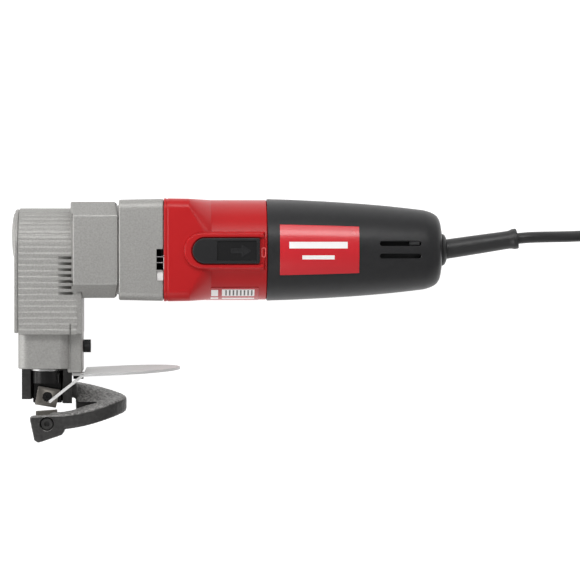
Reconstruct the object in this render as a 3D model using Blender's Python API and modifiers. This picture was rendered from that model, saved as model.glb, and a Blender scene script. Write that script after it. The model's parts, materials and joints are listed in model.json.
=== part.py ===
"""An electric sheet-metal shear lying on its side, with its gear train, motor and coiled lead.

+X runs from the head to the lead, +Y from the blades to the back of the tool, +Z up from the bench.
Lengths are written in millimetres and turned into metres by MM. Pieces of the tool hang on an empty
on the barrel's axis, so their z is counted from that axis. The tool rests on the flat side of its
gear cover, and the origin is on that face, under the axis.
"""

import math

import bmesh
import bpy
from mathutils import Matrix, Vector

MM = 0.001
GAP = 0.3  # clearance between neighbouring pieces
FAR = 200.0  # a cutter that runs right past the tool

# The barrel, from the collar to the end of the rear cover
AXIS_HEIGHT = 33.6
COLLAR_FRONT, COLLAR_REAR = -48.0, -14.0
COLLAR_HALF, COLLAR_CHAMFER = 31.3, 9.0
COLLAR_FOOT_Y = -27.2  # below this the collar stops short of the head
COLLAR_ENDS = (  # z, x: the end faces lean back towards the sides
    (-22.3, -46.5), (-31.3, -44.6), (-33.0, -44.3), (-33.0, -15.1), (-31.3, -15.4), (-22.3, -17.5),
    (22.3, -17.5), (31.3, -15.4), (33.0, -15.1), (33.0, -44.3), (31.3, -44.6), (22.3, -46.5),
)
GEAR_COVER_FRONT, GEAR_COVER_REAR = -15.0, 13.9
GEAR_COVER_HALF_FRONT, GEAR_COVER_HALF_REAR, GEAR_COVER_CORNER = 32.6, 33.2, 6.0
MOTOR_FRONT, MOTOR_REAR = 14.2, 81.3
MOTOR_BOX_END, MOTOR_ROUND_START, MOTOR_RADIUS = 33.5, 41.0, 32.8
MOTOR_BOX_HALF_FRONT, MOTOR_BOX_HALF_END, MOTOR_BOX_CORNER = 33.5, 33.2, 7.0
BARREL_BORE = 29.8
REAR_WALL = 2.8
REAR_PROFILE = (  # radius, x
    (33.5, 81.6), (33.0, 97.3), (32.0, 118.2), (30.7, 139.2), (29.0, 160.1), (26.7, 181.1),
    (25.7, 187.0), (23.6, 192.2), (20.0, 195.3), (13.0, 196.8),
)

# The head and its neck
HEAD_FRONT, RIB_END, HEAD_REAR = -80.4, -42.2, -39.2
HEAD_RADIUS, HEAD_CENTRE_Y, HEAD_FOOT_Y = 25.0, 2.3, -55.0
HEAD_WALL = 4.0
RIB_PITCH, RIB_WIDTH, RIB_DEPTH, RIB_FLANK = 3.84, 2.0, 0.8, 0.35
SIDE_DRAFT = 0.3  # how much the head's flat sides draw in at their foot
GROOVE_Y = -43.6  # the middle of one groove between two ribs, from which the rest are counted
NECK_FRONT, NECK_REAR, NECK_BOTTOM, NECK_HALF = -81.0, -46.8, -77.6, 21.0
FLANGE_BOTTOM, FLANGE_TOP, FLANGE_HALF = -80.2, -48.0, 17.0
CLAMP_SCREW_Y = -63.2
COVER_SCREWS = ((12.5, 17.3), (12.5, -17.3), (-36.0, 19.5), (-36.0, -19.5))  # y, z
COVER_SCREW_HOLE = 1.8

# The long screws that hold the collar, the gear cover and the motor housing together
CASE_SCREWS = tuple((y, z) for y in (21.0, -21.0) for z in (28.1, -28.1))
CASE_SCREW_FRONT, CASE_SCREW_LENGTH, CASE_SCREW_END = -43.5, 72.0, 31.0
CASE_SCREW_HOLE, CASE_HEAD_HOLE, CASE_HEAD_SEAT = 1.9, 2.8, -40.0
INSIDE_X, OUTSIDE_X = -20.0, -FAR  # where the holes start, inside the barrel or in front of it

# The drive: crank, intermediate shaft and armature, all parallel to the barrel
CRANK_Y, INTERMEDIATE_Y, ARMATURE_Y = 8.95, -15.05, 0.0
THROW = 2.3
PLUNGER_X = -62.9
PLUNGER_RADIUS = 9.4
SLIDE_HALF = 5.2
SLIDE_PLAY = 0.6  # lets the plunger move evenly while the pin goes round
MODULE_FAST, TEETH_MOTOR, TEETH_INTERMEDIATE = 0.7, 9, 34
MODULE_SLOW, TEETH_PINION, TEETH_CRANK = 1.0, 12, 36
PRESSURE_ANGLE = math.radians(25)
TOOTH_THINNING = 0.12
BEARING_RADIUS = 9.5

# The cutting end; the cut lies in the plane z = 0
TUBE_RADIUS, TUBE_BORE = 16.5, 10.75
BUSH_RADIUS = 10.4
BLADE_THICKNESS = 5.8
UPPER_BLADE = ((-68.4, -89.4), (-71.0, -101.7), (-57.2, -104.0), (-54.2, -92.0))  # x, y
LOWER_BLADE = ((-70.0, -105.9), (-70.0, -119.2), (-56.0, -119.2), (-56.0, -104.9))
UPPER_SCREW, LOWER_SCREW = (-62.6, -96.7), (-62.2, -113.6)
BLADE_SCREW_HOLE = 2.4
BLOCK = (
    (-73.4, -108.6), (-73.3, -110.6), (-70.4, -124.4), (-68.0, -126.0), (-52.4, -120.8), (-50.9, -118.6),
    (-50.9, -107.6),
)
BLOCK_FAR, BLOCK_NEAR = 6.3, 19.0
ARM_HEIGHT = 10.0
ARM_EDGES = (  # the top of the arm from the rear leg round to the block: x, y, z outside and inside
    (-49.5, -87.2, -10.0, -49.5, -87.2, 1.0), (-44.0, -87.4, -15.5, -44.0, -87.8, -1.5),
    (-37.5, -88.4, -20.5, -43.2, -89.4, -4.0), (-29.0, -90.4, -22.3, -43.6, -91.8, -4.0),
    (-19.5, -92.8, -17.5, -44.2, -95.2, -2.5), (-12.3, -95.0, -8.5, -43.6, -98.4, -0.5),
    (-10.8, -96.4, 2.5, -42.4, -100.8, 1.8), (-16.5, -98.8, 12.8, -41.4, -102.6, 4.0),
    (-26.5, -102.2, 18.0, -43.0, -103.8, 5.6), (-38.0, -105.4, 19.2, -46.0, -104.6, 6.3),
    (-50.0, -107.4, 19.0, -51.0, -105.6, 6.5), (-60.0, -108.2, 18.6, -60.0, -106.4, 6.6),
)
TONGUE_SLOPE, TONGUE_LEAN = math.radians(2.5), math.radians(2.0)
TONGUE_FRONT, TONGUE_STRAIGHT_END, TONGUE_END, TONGUE_HALF = -38.0, -14.0, 24.6, 31.0
SHEET_TOP, SHEET_THICKNESS = -79.4, 1.8
DEFLECTOR_SCREW = (-42.4, 0, -5.0)
DEFLECTOR_SCREW_FACE = -85.1

# Openings in the shells: the gear cover's vents, the rear cover's air slots, the slot for the knob's stem
VENT_FRONT, VENT_REAR, VENT_INSIDE = 9.4, 15.0, 24.0
VENT_HEIGHTS = ((-4.1, 0.5), (-7.9, -4.9), (-13.0, -8.7))
VENT_RECESS_BOTTOM, VENT_RECESS_TOP, VENT_RECESS_FLOOR = -20.2, -13.6, 31.9
AIR_SLOT_FRONT, AIR_SLOT_REAR, AIR_SLOT_HALF = 154.7, 181.9, 1.5
AIR_SLOT_HEIGHTS = (4.0, -4.1)
STEM_SLOT_FRONT, STEM_SLOT_REAR, STEM_SLOT_HALF = 50.5, 66.5, 3.2

# The switch
KNOB_FRONT, KNOB_REAR, KNOB_HALF, KNOB_Y = 32.8, 76.4, 8.2, -0.65
KNOB_BOTTOM, KNOB_TOP = 33.9, 37.1
SURROUND_FRONT, SURROUND_TOP, SURROUND_HALF = 27.4, 35.6, 11.4
POCKET_FLOOR = 33.5
LINK_BOTTOM, LINK_TOP, LINK_HALF = 24.9, 26.7, 3.0

# The motor
STATOR_FRONT, STATOR_REAR, STATOR_RADIUS, STATOR_FLAT, STATOR_BORE = 38.0, 83.0, 28.6, 24.4, 17.9
CORE_FRONT, CORE_REAR, CORE_RADIUS = 40.0, 81.0, 17.2
ARMATURE_SLOTS, CORE_TOOTH_HALF, SLOT_FLOOR = 12, 1.6, 11.6
SHAFT_RADIUS = 3.5
COMMUTATOR_RADIUS = 10.0
FAN_RADIUS, FAN_BLADES = 26.5, 9
REAR_BEARING_X = 112.3
BRUSH_X = 98.5

# The lead: 2.0 m of 7.3 mm cord
CORD_RADIUS = 3.65
RELIEF_TILT = math.radians(8.5)
RELIEF_START, RELIEF_END = (199.4, 0.3), (247.3, 7.45)
COIL_CENTRE = (362.0, -38.0)
COIL_OUTER_TURN, COIL_INNER_TURN = 52.5, 26.8
COIL_HEIGHT = 14.8
LEAD_ROUTE = (  # x, y, height above the bench
    (247.7, 7.5, 33.6), (253.0, 8.0, 33.5), (259.0, 8.3, 32.6), (267.0, 8.5, 30.1), (277.0, 8.7, 25.2),
    (288.0, 9.0, 18.7), (299.0, 9.7, 12.4), (310.0, 10.8, 7.6), (321.0, 12.2, 4.8), (330.0, 13.2, 3.9),
)
TAIL_ROUTE = (
    (309.6, -38.0, 18.8), (311.2, -28.6, 19.2), (316.5, -19.0, 19.9), (325.0, -12.2, 21.0),
    (335.0, -9.4, 22.6), (345.5, -11.0, 24.4), (354.5, -16.8, 26.2), (360.5, -25.2, 27.4),
    (362.7, -34.0, 28.0), (363.0, -38.2, 28.0),
)
PLUG_X, PLUG_Y, PLUG_HEIGHT = 363.0, -38.6, 28.0
TIE_ANGLE = math.radians(40)


def clear_scene():
    for thing in list(bpy.data.objects):
        bpy.data.objects.remove(thing, do_unlink=True)


clear_scene()
TOOL = bpy.data.collections.new("sheet_metal_shear")
CUTTERS = bpy.data.collections.new("cutters")
CUTTERS.hide_render = True
bpy.context.scene.collection.children.link(TOOL)
bpy.context.scene.collection.children.link(CUTTERS)


def axis_empty(name, y, parent=None, z=0.0):
    """An empty on an axis parallel to X, which the pieces that turn about it hang on."""
    empty = bpy.data.objects.new(name, None)
    empty.empty_display_size = 0.02
    empty.location = (0.0, y * MM, z * MM)
    empty.parent = parent
    TOOL.objects.link(empty)
    return empty


BARREL = axis_empty("barrel_axis", 0.0, z=AXIS_HEIGHT)
CRANK = axis_empty("crank_axis", CRANK_Y, BARREL)
INTERMEDIATE = axis_empty("intermediate_axis", INTERMEDIATE_Y, BARREL)

# Local axes of a piece as columns: its own z is the axis that it is turned about or drawn along.
ALONG = {
    "X": Matrix(((0, 0, 1), (1, 0, 0), (0, 1, 0))),
    "Y": Matrix(((0, 1, 0), (0, 0, 1), (1, 0, 0))),
    "Z": Matrix.Identity(3),
}


def material(name, colour, roughness, metallic=0.0):
    made = bpy.data.materials.new(name)
    made.use_nodes = True
    shader = made.node_tree.nodes["Principled BSDF"]
    shader.inputs["Base Color"].default_value = (*colour, 1.0)
    shader.inputs["Roughness"].default_value = roughness
    shader.inputs["Metallic"].default_value = metallic
    made.diffuse_color = (*colour, 1.0)
    return made


CAST = ((0.34, 0.34, 0.33), 0.55, 0.7)
RED = ((0.62, 0.02, 0.03), 0.25)
BLACK = ((0.035, 0.035, 0.037), 0.5)
RUBBER = ((0.02, 0.02, 0.02), 0.7)
BLACK_STEEL = ((0.03, 0.03, 0.03), 0.4, 0.8)
STEEL = ((0.55, 0.55, 0.54), 0.3, 1.0)
BRIGHT = ((0.75, 0.74, 0.72), 0.22, 1.0)
CASTING = ((0.045, 0.045, 0.045), 0.6, 0.5)
BRONZE = ((0.45, 0.30, 0.12), 0.4, 1.0)
COPPER = ((0.55, 0.22, 0.10), 0.35, 1.0)
LAMINATION = ((0.30, 0.30, 0.31), 0.5, 0.9)
CARBON = ((0.04, 0.04, 0.045), 0.6, 0.2)
BRASS = ((0.60, 0.45, 0.18), 0.3, 1.0)


def add(name, data, look=None, at=(0, 0, 0), turn=None, parent=BARREL):
    """An object of the tool, or a cutter where no look is given."""
    thing = bpy.data.objects.new(name, data)
    thing.parent = parent
    thing.location = Vector(at) * MM
    if turn is not None:
        thing.rotation_euler = turn.to_euler()
    (CUTTERS if look is None else TOOL).objects.link(thing)
    if look is None:
        thing.hide_render = True
        thing.display_type = "WIRE"
    else:
        data.materials.append(material(name, *look))
    if thing.type == "MESH" and len(data.polygons):
        data.shade_smooth()
        data.set_sharp_from_angle(angle=math.radians(35))
    return thing


def mesh_from(bm, name):
    mesh = bpy.data.meshes.new(name)
    bm.to_mesh(mesh)
    bm.free()
    return mesh


def soften(thing, width, segments=2, angle=35):
    bevel = thing.modifiers.new("rounded_edges", "BEVEL")
    bevel.width = width * MM
    bevel.segments = segments
    bevel.limit_method = "ANGLE"
    bevel.angle_limit = math.radians(angle)
    return thing


def combine(thing, operation, others):
    for other in others:
        boolean = thing.modifiers.new(other.name, "BOOLEAN")
        boolean.operation = operation
        boolean.object = other
    return thing


def cut(thing, *cutters):
    return combine(thing, "DIFFERENCE", cutters)


def join(thing, *others):
    return combine(thing, "UNION", others)


def box(name, low, high, look=None, parent=BARREL):
    """A box between two corners, with its origin at its middle."""
    low, high = Vector(low), Vector(high)
    bm = bmesh.new()
    bmesh.ops.create_cube(bm, size=1.0)
    bmesh.ops.scale(bm, vec=(high - low) * MM, verts=bm.verts)
    return add(name, mesh_from(bm, name), look, (low + high) / 2, parent=parent)


def turned(name, profile, look=None, at=(0, 0, 0), along="X", steps=24, parent=BARREL, turn=None):
    """A solid of revolution. The profile holds (radius, height along the axis) in either direction."""
    area = sum(a[0] * b[1] - b[0] * a[1] for a, b in zip(profile, [*profile[1:], profile[0]]))
    points = list(profile) if area < 0 else list(profile)[::-1]
    bm = bmesh.new()
    corners = [bm.verts.new((radius * MM, 0, height * MM)) for radius, height in points]
    for first, second in zip(corners, corners[1:]):
        bm.edges.new((first, second))
    if points[0][0] > 0 or points[-1][0] > 0:
        bm.edges.new((corners[-1], corners[0]))
    thing = add(name, mesh_from(bm, name), look, at, ALONG[along] if turn is None else turn, parent)
    screw = thing.modifiers.new("turned", "SCREW")
    screw.steps = screw.render_steps = steps
    screw.use_merge_vertices = True
    screw.merge_threshold = 1e-6
    screw.use_smooth_shade = True
    return thing


def rod(name, radius, start, end, look=None, at=(0, 0, 0), along="X", steps=16, parent=BARREL):
    profile = ((0, start), (radius, start), (radius, end), (0, end))
    return turned(name, profile, look, at, along, steps, parent)


def ring(name, radius, bore, start, end, look=None, at=(0, 0, 0), along="X", steps=20, parent=BARREL):
    profile = ((bore, start), (radius, start), (radius, end), (bore, end))
    return turned(name, profile, look, at, along, steps, parent)


def prism(name, outline, start, end, look=None, at=(0, 0, 0), along="X", parent=BARREL):
    """A flat outline drawn along an axis. Its points are (y, z) along X, (z, x) along Y, (x, y) along Z."""
    flat = bpy.data.curves.new(name, "CURVE")
    flat.dimensions = "2D"
    flat.fill_mode = "BOTH"
    flat.extrude = (end - start) / 2 * MM
    spline = flat.splines.new("POLY")
    spline.points.add(len(outline) - 1)
    for point, (across, up) in zip(spline.points, outline):
        point.co = (across * MM, up * MM, 0, 1)
    spline.use_cyclic_u = True
    guide = bpy.data.objects.new(name + "_outline", flat)
    CUTTERS.objects.link(guide)
    graph = bpy.context.evaluated_depsgraph_get()
    bm = bmesh.new()
    bm.from_mesh(bpy.data.meshes.new_from_object(guide.evaluated_get(graph)))
    bpy.data.objects.remove(guide)
    bmesh.ops.remove_doubles(bm, verts=bm.verts, dist=1e-7)
    bmesh.ops.dissolve_limit(bm, angle_limit=1e-4, verts=[], edges=bm.edges)
    bmesh.ops.recalc_face_normals(bm, faces=bm.faces)
    middle = ALONG[along] @ Vector((0, 0, (start + end) / 2))
    return add(name, mesh_from(bm, name), look, Vector(at) + middle, ALONG[along], parent)


def loft(name, sections, look=None, at=(0, 0, 0), parent=BARREL):
    """A skin over closed rings of equal count, closed by a flat face at each end."""
    bm = bmesh.new()
    rings = [[bm.verts.new(Vector(point) * MM) for point in section] for section in sections]
    for here, there in zip(rings, rings[1:]):
        for i in range(len(here)):
            j = (i + 1) % len(here)
            bm.faces.new((here[i], here[j], there[j], there[i]))
    bm.faces.new(rings[0])
    bm.faces.new(rings[-1])
    bmesh.ops.recalc_face_normals(bm, faces=bm.faces)
    return add(name, mesh_from(bm, name), look, at, parent=parent)


def tube(name, route, radius, look, parent=None, resolution=2):
    """A round tube along a smooth curve through the route's points."""
    curve = bpy.data.curves.new(name, "CURVE")
    curve.dimensions = "3D"
    curve.bevel_depth = radius * MM
    curve.bevel_resolution = resolution
    curve.use_fill_caps = True
    points = smooth_through(route)
    spline = curve.splines.new("POLY")
    spline.points.add(len(points) - 1)
    for point, place in zip(spline.points, points):
        point.co = (*(place * MM), 1)
    add(name, curve, look, parent=parent)


def smooth_through(route, spacing=14.0):
    """Points of a Catmull-Rom curve through the route, about one every two diameters of the cord."""
    knots = [Vector(point) for point in route]
    knots = [2 * knots[0] - knots[1], *knots, 2 * knots[-1] - knots[-2]]
    points = []
    for before, start, end, after in zip(knots, knots[1:], knots[2:], knots[3:]):
        count = max(1, round((end - start).length / spacing))
        for step in range(count):
            t = step / count
            points.append(0.5 * (2 * start + (end - before) * t
                                 + (2 * before - 5 * start + 4 * end - after) * t ** 2
                                 + (3 * start - before - 3 * end + after) * t ** 3))
    return [*points, knots[-2]]


def rounded_rectangle(half_across, half_up, corner, steps=4, centre=(0, 0)):
    """The outline of a rectangle whose corners are arcs, which is a circle where the corner is the half."""
    points = []
    for quarter in range(4):
        side_across = 1 if quarter in (0, 3) else -1
        side_up = 1 if quarter < 2 else -1
        for step in range(steps + 1):
            angle = (quarter + step / steps) * math.pi / 2
            across = side_across * (half_across - corner) + corner * math.cos(angle)
            up = side_up * (half_up - corner) + corner * math.sin(angle)
            points.append((centre[0] + across, centre[1] + up))
    return points


def arch(radius, centre_y, foot_y, steps=24):
    """The (y, z) outline of the head: a half round on straight sides."""
    round_part = [
        (centre_y + radius * math.sin(math.pi * i / steps), radius * math.cos(math.pi * i / steps))
        for i in range(steps + 1)
    ]
    return [(foot_y, radius), *round_part, (foot_y, -radius)]


def ribbed_arch():
    """The head's outline with its ribs, walked up one side, over the round and down the other."""
    straight = HEAD_CENTRE_Y - HEAD_FOOT_Y
    round_length = math.pi * HEAD_RADIUS
    total = 2 * straight + round_length

    def place(along, lift):
        radius = HEAD_RADIUS + lift
        if along < straight:
            return HEAD_FOOT_Y + along, radius - SIDE_DRAFT * (1 - along / straight) ** 2
        if along > straight + round_length:
            return HEAD_FOOT_Y + total - along, SIDE_DRAFT * ((along - total) / straight + 1) ** 2 - radius
        angle = (along - straight) / HEAD_RADIUS
        return HEAD_CENTRE_Y + radius * math.sin(angle), radius * math.cos(angle)

    middle = (GROOVE_Y - HEAD_FOOT_Y + RIB_PITCH / 2) % RIB_PITCH
    points = [place(0, -RIB_DEPTH)]
    while middle + RIB_WIDTH < total:
        if middle > RIB_WIDTH:
            near, far = middle - RIB_WIDTH / 2, middle + RIB_WIDTH / 2
            points += [place(near - RIB_FLANK, -RIB_DEPTH), place(near + RIB_FLANK, 0),
                       place(far - RIB_FLANK, 0), place(far + RIB_FLANK, -RIB_DEPTH)]
        middle += RIB_PITCH
    return [*points, place(total, -RIB_DEPTH)]


def gear_outline(module, teeth, tooth_at):
    """Involute teeth, one of them centred on the angle tooth_at."""
    pitch = module * teeth / 2
    base = pitch * math.cos(PRESSURE_ANGLE)
    tip, root = pitch + 0.8 * module, pitch - 1.1 * module
    half = math.pi / (2 * teeth) - TOOTH_THINNING / (2 * pitch)

    def half_angle(radius):
        turn = math.acos(min(1.0, base / radius))
        return half + (math.tan(PRESSURE_ANGLE) - PRESSURE_ANGLE) - (math.tan(turn) - turn)

    flank = [max(base, root) + (tip - max(base, root)) * step for step in (0.02, 0.45, 1.0)]
    side = [(root, half_angle(flank[0])), *((radius, half_angle(radius)) for radius in flank)]
    points = []
    for tooth in range(teeth):
        middle = tooth_at + 2 * math.pi * tooth / teeth
        polar = [(r, middle - a) for r, a in side] + [(r, middle + a) for r, a in reversed(side)]
        points += [(r * math.cos(a), r * math.sin(a)) for r, a in polar]
    return points


def star(count, root, tip, half_width, arc_steps=1):
    """A hub with straight-sided arms, as (y, z) points."""
    points = []
    for arm in range(count):
        middle = 2 * math.pi * arm / count
        low, high = math.asin(half_width / root), math.asin(0.97 * half_width / tip)
        polar = [(root, middle - low), (tip, middle - high), (tip, middle + high), (root, middle + low)]
        gap = 2 * math.pi / count - 2 * low
        polar += [(root, middle + low + gap * i / (arc_steps + 1)) for i in range(1, arc_steps + 1)]
        points += [(r * math.cos(a), r * math.sin(a)) for r, a in polar]
    return points


def sector(inner, outer, middle, spread, steps=8):
    """Part of a ring between two angles, as (y, z) points."""
    angles = [middle - spread + 2 * spread * i / steps for i in range(steps + 1)]
    outside = [(outer * math.cos(a), outer * math.sin(a)) for a in angles]
    inside = [(inner * math.cos(a), inner * math.sin(a)) for a in reversed(angles)]
    return outside + inside


def rear_radius(x):
    """The rear cover's outer radius at x."""
    for (r0, x0), (r1, x1) in zip(REAR_PROFILE, REAR_PROFILE[1:]):
        if x <= x1:
            return r0 + (r1 - r0) * (x - x0) / (x1 - x0)
    return REAR_PROFILE[-1][0]


def screw(name, radius, head_radius, head_length, length, look, at, along, way=1, sunk=False):
    """A screw whose head's face is at its origin and whose shank runs along way times the axis."""
    rim = head_length * (0.25 if sunk else 1.0)
    profile = [(0, 0), (head_radius, 0), (head_radius, rim), (radius, head_length),
               (radius, length), (0, length)]
    made = turned(name, [(r, way * h) for r, h in profile], look, at, along, steps=12)
    socket_depth = head_length * 0.6
    socket = prism(
        name + "_socket",
        [(0.52 * head_radius * math.cos(k * math.pi / 3), 0.52 * head_radius * math.sin(k * math.pi / 3))
         for k in range(6)],
        -socket_depth, socket_depth, at=at, along=along,
    )
    cut(made, socket)


def build_head():
    head = prism("head_housing", ribbed_arch(), HEAD_FRONT, RIB_END, CAST)
    plain = prism("head_plain_rear", arch(HEAD_RADIUS - 0.3, HEAD_CENTRE_Y, HEAD_FOOT_Y + 0.4),
                  RIB_END - 1, HEAD_REAR)
    neck_middle = (NECK_FRONT + NECK_REAR) / 2
    neck = soften(prism(
        "head_neck", rounded_rectangle(NECK_HALF, (NECK_REAR - NECK_FRONT) / 2, 7, centre=(0, neck_middle)),
        NECK_BOTTOM, HEAD_FOOT_Y + 0.4, along="Y"), 0.8, 1)
    flange = soften(box("head_flange", (NECK_REAR - 2, FLANGE_BOTTOM, -FLANGE_HALF),
                        (HEAD_REAR, FLANGE_TOP, FLANGE_HALF)), 1.5)
    join(head, plain, neck, flange)
    chamber = prism("head_chamber", arch(HEAD_RADIUS - HEAD_WALL, HEAD_CENTRE_Y, -40, 14), -73.0, -46.2)
    cut(
        head, chamber,
        rod("head_bearing_seat", BEARING_RADIUS + GAP, -FAR, -72.0, at=(0, CRANK_Y, 0), steps=20),
        rod("head_crank_hole", 6.2, -47, 0, at=(0, CRANK_Y, 0)),
        rod("head_bush_seat", 4.8, -45.2, 0, at=(0, INTERMEDIATE_Y, 0)),
        rod("head_yoke_bore", TUBE_RADIUS + GAP, -FAR, -49.5, at=(PLUNGER_X, 0, 0), along="Y", steps=24),
        rod("head_guide_bore", BUSH_RADIUS + GAP, -60, -39, at=(PLUNGER_X, 0, 0), along="Y", steps=20),
        rod("head_clamp_hole", 2.8, -50, 0, at=(0, CLAMP_SCREW_Y, 0), steps=16),
        rod("head_deflector_hole", 2.2, -FAR, -70.0, at=DEFLECTOR_SCREW, along="Y", steps=12),
    )
    for number, (y, z) in enumerate(COVER_SCREWS, 1):
        cut(head, rod(f"head_screw_hole_{number}", COVER_SCREW_HOLE, -FAR, -72.0, at=(0, y, z), steps=8))


def build_front():
    cover = prism("front_cover", arch(HEAD_RADIUS - 0.7, HEAD_CENTRE_Y, -54.2, 16), -83.2, -80.7, CAST)
    soften(cover, 1.0, 1, 50)
    cut(cover, rod("cover_hole", 11.3, -FAR, 0, at=(0, CRANK_Y, 0)))
    for number, (y, z) in enumerate(COVER_SCREWS, 1):
        hole = COVER_SCREW_HOLE
        sink = ((0, -84), (3.2, -84), (3.1, -82.6), (hole, -81.3), (hole, -79), (0, -79))
        cut(cover, turned(f"cover_countersink_{number}", sink, at=(0, y, z), steps=12))
        screw(f"cover_screw_{number}", 1.5, 2.7, 1.8, 10.0, BLACK_STEEL, (-83.1, y, z), "X", sunk=True)
    dome = [(15.4 * math.sin(a), -83.5 - 2.1 * math.cos(a)) for a in (0, 0.5, 0.95, 1.3, math.pi / 2)]
    turned("front_cap", [*dome, (11.0, -83.5), (11.0, -80.6), (0, -80.6)], CAST, (0, CRANK_Y, 0))


def build_collar():
    half, chamfer = COLLAR_HALF, COLLAR_CHAMFER
    flat = half - chamfer
    outline = [(half, -flat), (half, flat), (flat, half), (-flat, half),
               (-half, flat), (-half, -flat), (-flat, -half), (flat, -half)]
    collar = prism("gear_collar", outline, COLLAR_FRONT, COLLAR_REAR, CAST)
    combine(collar, "INTERSECT", [prism("collar_ends", COLLAR_ENDS, -FAR, FAR, along="Y")])
    cut(
        collar,
        prism("collar_notch", arch(HEAD_RADIUS + 0.4, HEAD_CENTRE_Y, -60), -60, HEAD_REAR + GAP),
        box("collar_foot_notch", (-60, -40, -40), (HEAD_REAR + GAP, COLLAR_FOOT_Y, 40)),
        rod("collar_gear_space", 28.3, HEAD_REAR - 1, -27.0, steps=36),
        rod("collar_bearing_seat", BEARING_RADIUS + GAP, -28, 0, at=(0, CRANK_Y, 0), steps=20),
        rod("collar_shaft_hole", 4.0, -28, 0, at=(0, INTERMEDIATE_Y, 0)),
        rod("collar_register", 29.6, -19.0, 0, steps=36),
        *case_screw_holes("collar", OUTSIDE_X),
    )
    for number, (y, z) in enumerate(CASE_SCREWS, 1):
        cut(collar, rod(f"collar_case_head_{number}", CASE_HEAD_HOLE, -FAR, CASE_HEAD_SEAT, at=(0, y, z),
                        steps=10))


def case_screw_holes(name, start):
    return [rod(f"{name}_case_hole_{number}", CASE_SCREW_HOLE, start, CASE_SCREW_END, at=(0, y, z), steps=8)
            for number, (y, z) in enumerate(CASE_SCREWS, 1)]


def build_gear_cover():
    sections = [
        [(x, y, z) for y, z in rounded_rectangle(half, AXIS_HEIGHT, GEAR_COVER_CORNER, 4)]
        for x, half in ((GEAR_COVER_FRONT, GEAR_COVER_HALF_FRONT), (GEAR_COVER_REAR, GEAR_COVER_HALF_REAR))
    ]
    cover = loft("gear_cover", sections, CAST)
    join(cover, rod("gear_cover_spigot", 29.3, -18.6, GEAR_COVER_FRONT + 1, steps=36))
    seat = BEARING_RADIUS + GAP
    cut(
        cover,
        turned("gear_cover_inside", (
            (0, -20), (27.9, -20), (27.9, -3.5), (seat, -3.5), (seat, 5.2), (BARREL_BORE, 5.2),
            (BARREL_BORE, 20), (0, 20)), steps=36),
        rod("intermediate_bush_seat", 4.5, -5, 1.9, at=(0, INTERMEDIATE_Y, 0)),
        *case_screw_holes("gear_cover", INSIDE_X),
    )
    for side in (1, -1):
        bottom, top = sorted((side * VENT_INSIDE, side * FAR))
        for number, (low, high) in enumerate(VENT_HEIGHTS, 1):
            cut(cover, box(f"vent_{number}_{side}", (VENT_FRONT, low, bottom), (VENT_REAR, high, top)))
        recess = (VENT_RECESS_FLOOR, FAR) if side > 0 else (-FAR, -VENT_RECESS_FLOOR)
        cut(cover, box(f"vent_recess_{side}", (VENT_FRONT, VENT_RECESS_BOTTOM, recess[0]),
                       (VENT_REAR, VENT_RECESS_TOP, recess[1])))


def build_motor_housing():
    stations = (
        (MOTOR_FRONT, MOTOR_BOX_HALF_FRONT, MOTOR_BOX_CORNER),
        (MOTOR_BOX_END, MOTOR_BOX_HALF_END, MOTOR_BOX_CORNER),
        (MOTOR_ROUND_START, MOTOR_RADIUS, MOTOR_RADIUS - 0.01),
        (MOTOR_REAR, MOTOR_RADIUS, MOTOR_RADIUS - 0.01),
    )
    sections = [[(x, y, z) for y, z in rounded_rectangle(half, half, corner, 10)]
                for x, half, corner in stations]
    housing = loft("motor_housing", sections, RED)
    nose = [(SURROUND_FRONT + 5 - 5 * math.sin(a), KNOB_Y + side * (SURROUND_HALF - 5 + 5 * math.cos(a)))
            for side, angles in ((1, (0, 0.52, 1.05, 1.57)), (-1, (1.57, 1.05, 0.52, 0))) for a in angles]
    surround = soften(prism(
        "switch_surround",
        [(MOTOR_REAR, KNOB_Y + SURROUND_HALF), *nose, (MOTOR_REAR, KNOB_Y - SURROUND_HALF)],
        29.9, SURROUND_TOP, along="Z"), 0.8, 2, 60)
    join(housing, surround)
    room = KNOB_HALF + 0.5
    pocket = prism("knob_pocket", stadium(KNOB_FRONT - 0.6, MOTOR_REAR + 5, room), POCKET_FLOOR, 50,
                   along="Z")
    cut(
        housing,
        rod("motor_bore", BARREL_BORE, 0, 200, steps=40),
        pocket,
        box("knob_slot", (STEM_SLOT_FRONT, KNOB_Y - STEM_SLOT_HALF, 20),
            (STEM_SLOT_REAR, KNOB_Y + STEM_SLOT_HALF, 40)),
        *case_screw_holes("motor", INSIDE_X),
    )


def stadium(front, rear, half, centre_y=KNOB_Y):
    """An (x, y) outline with a half-round front end and a square rear end."""
    nose = [(front + half - half * math.cos(a), centre_y - half * math.sin(a))
            for a in (math.radians(-90 + 15 * i) for i in range(13))]
    return [(rear, centre_y + half), *nose, (rear, centre_y - half)]


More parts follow.
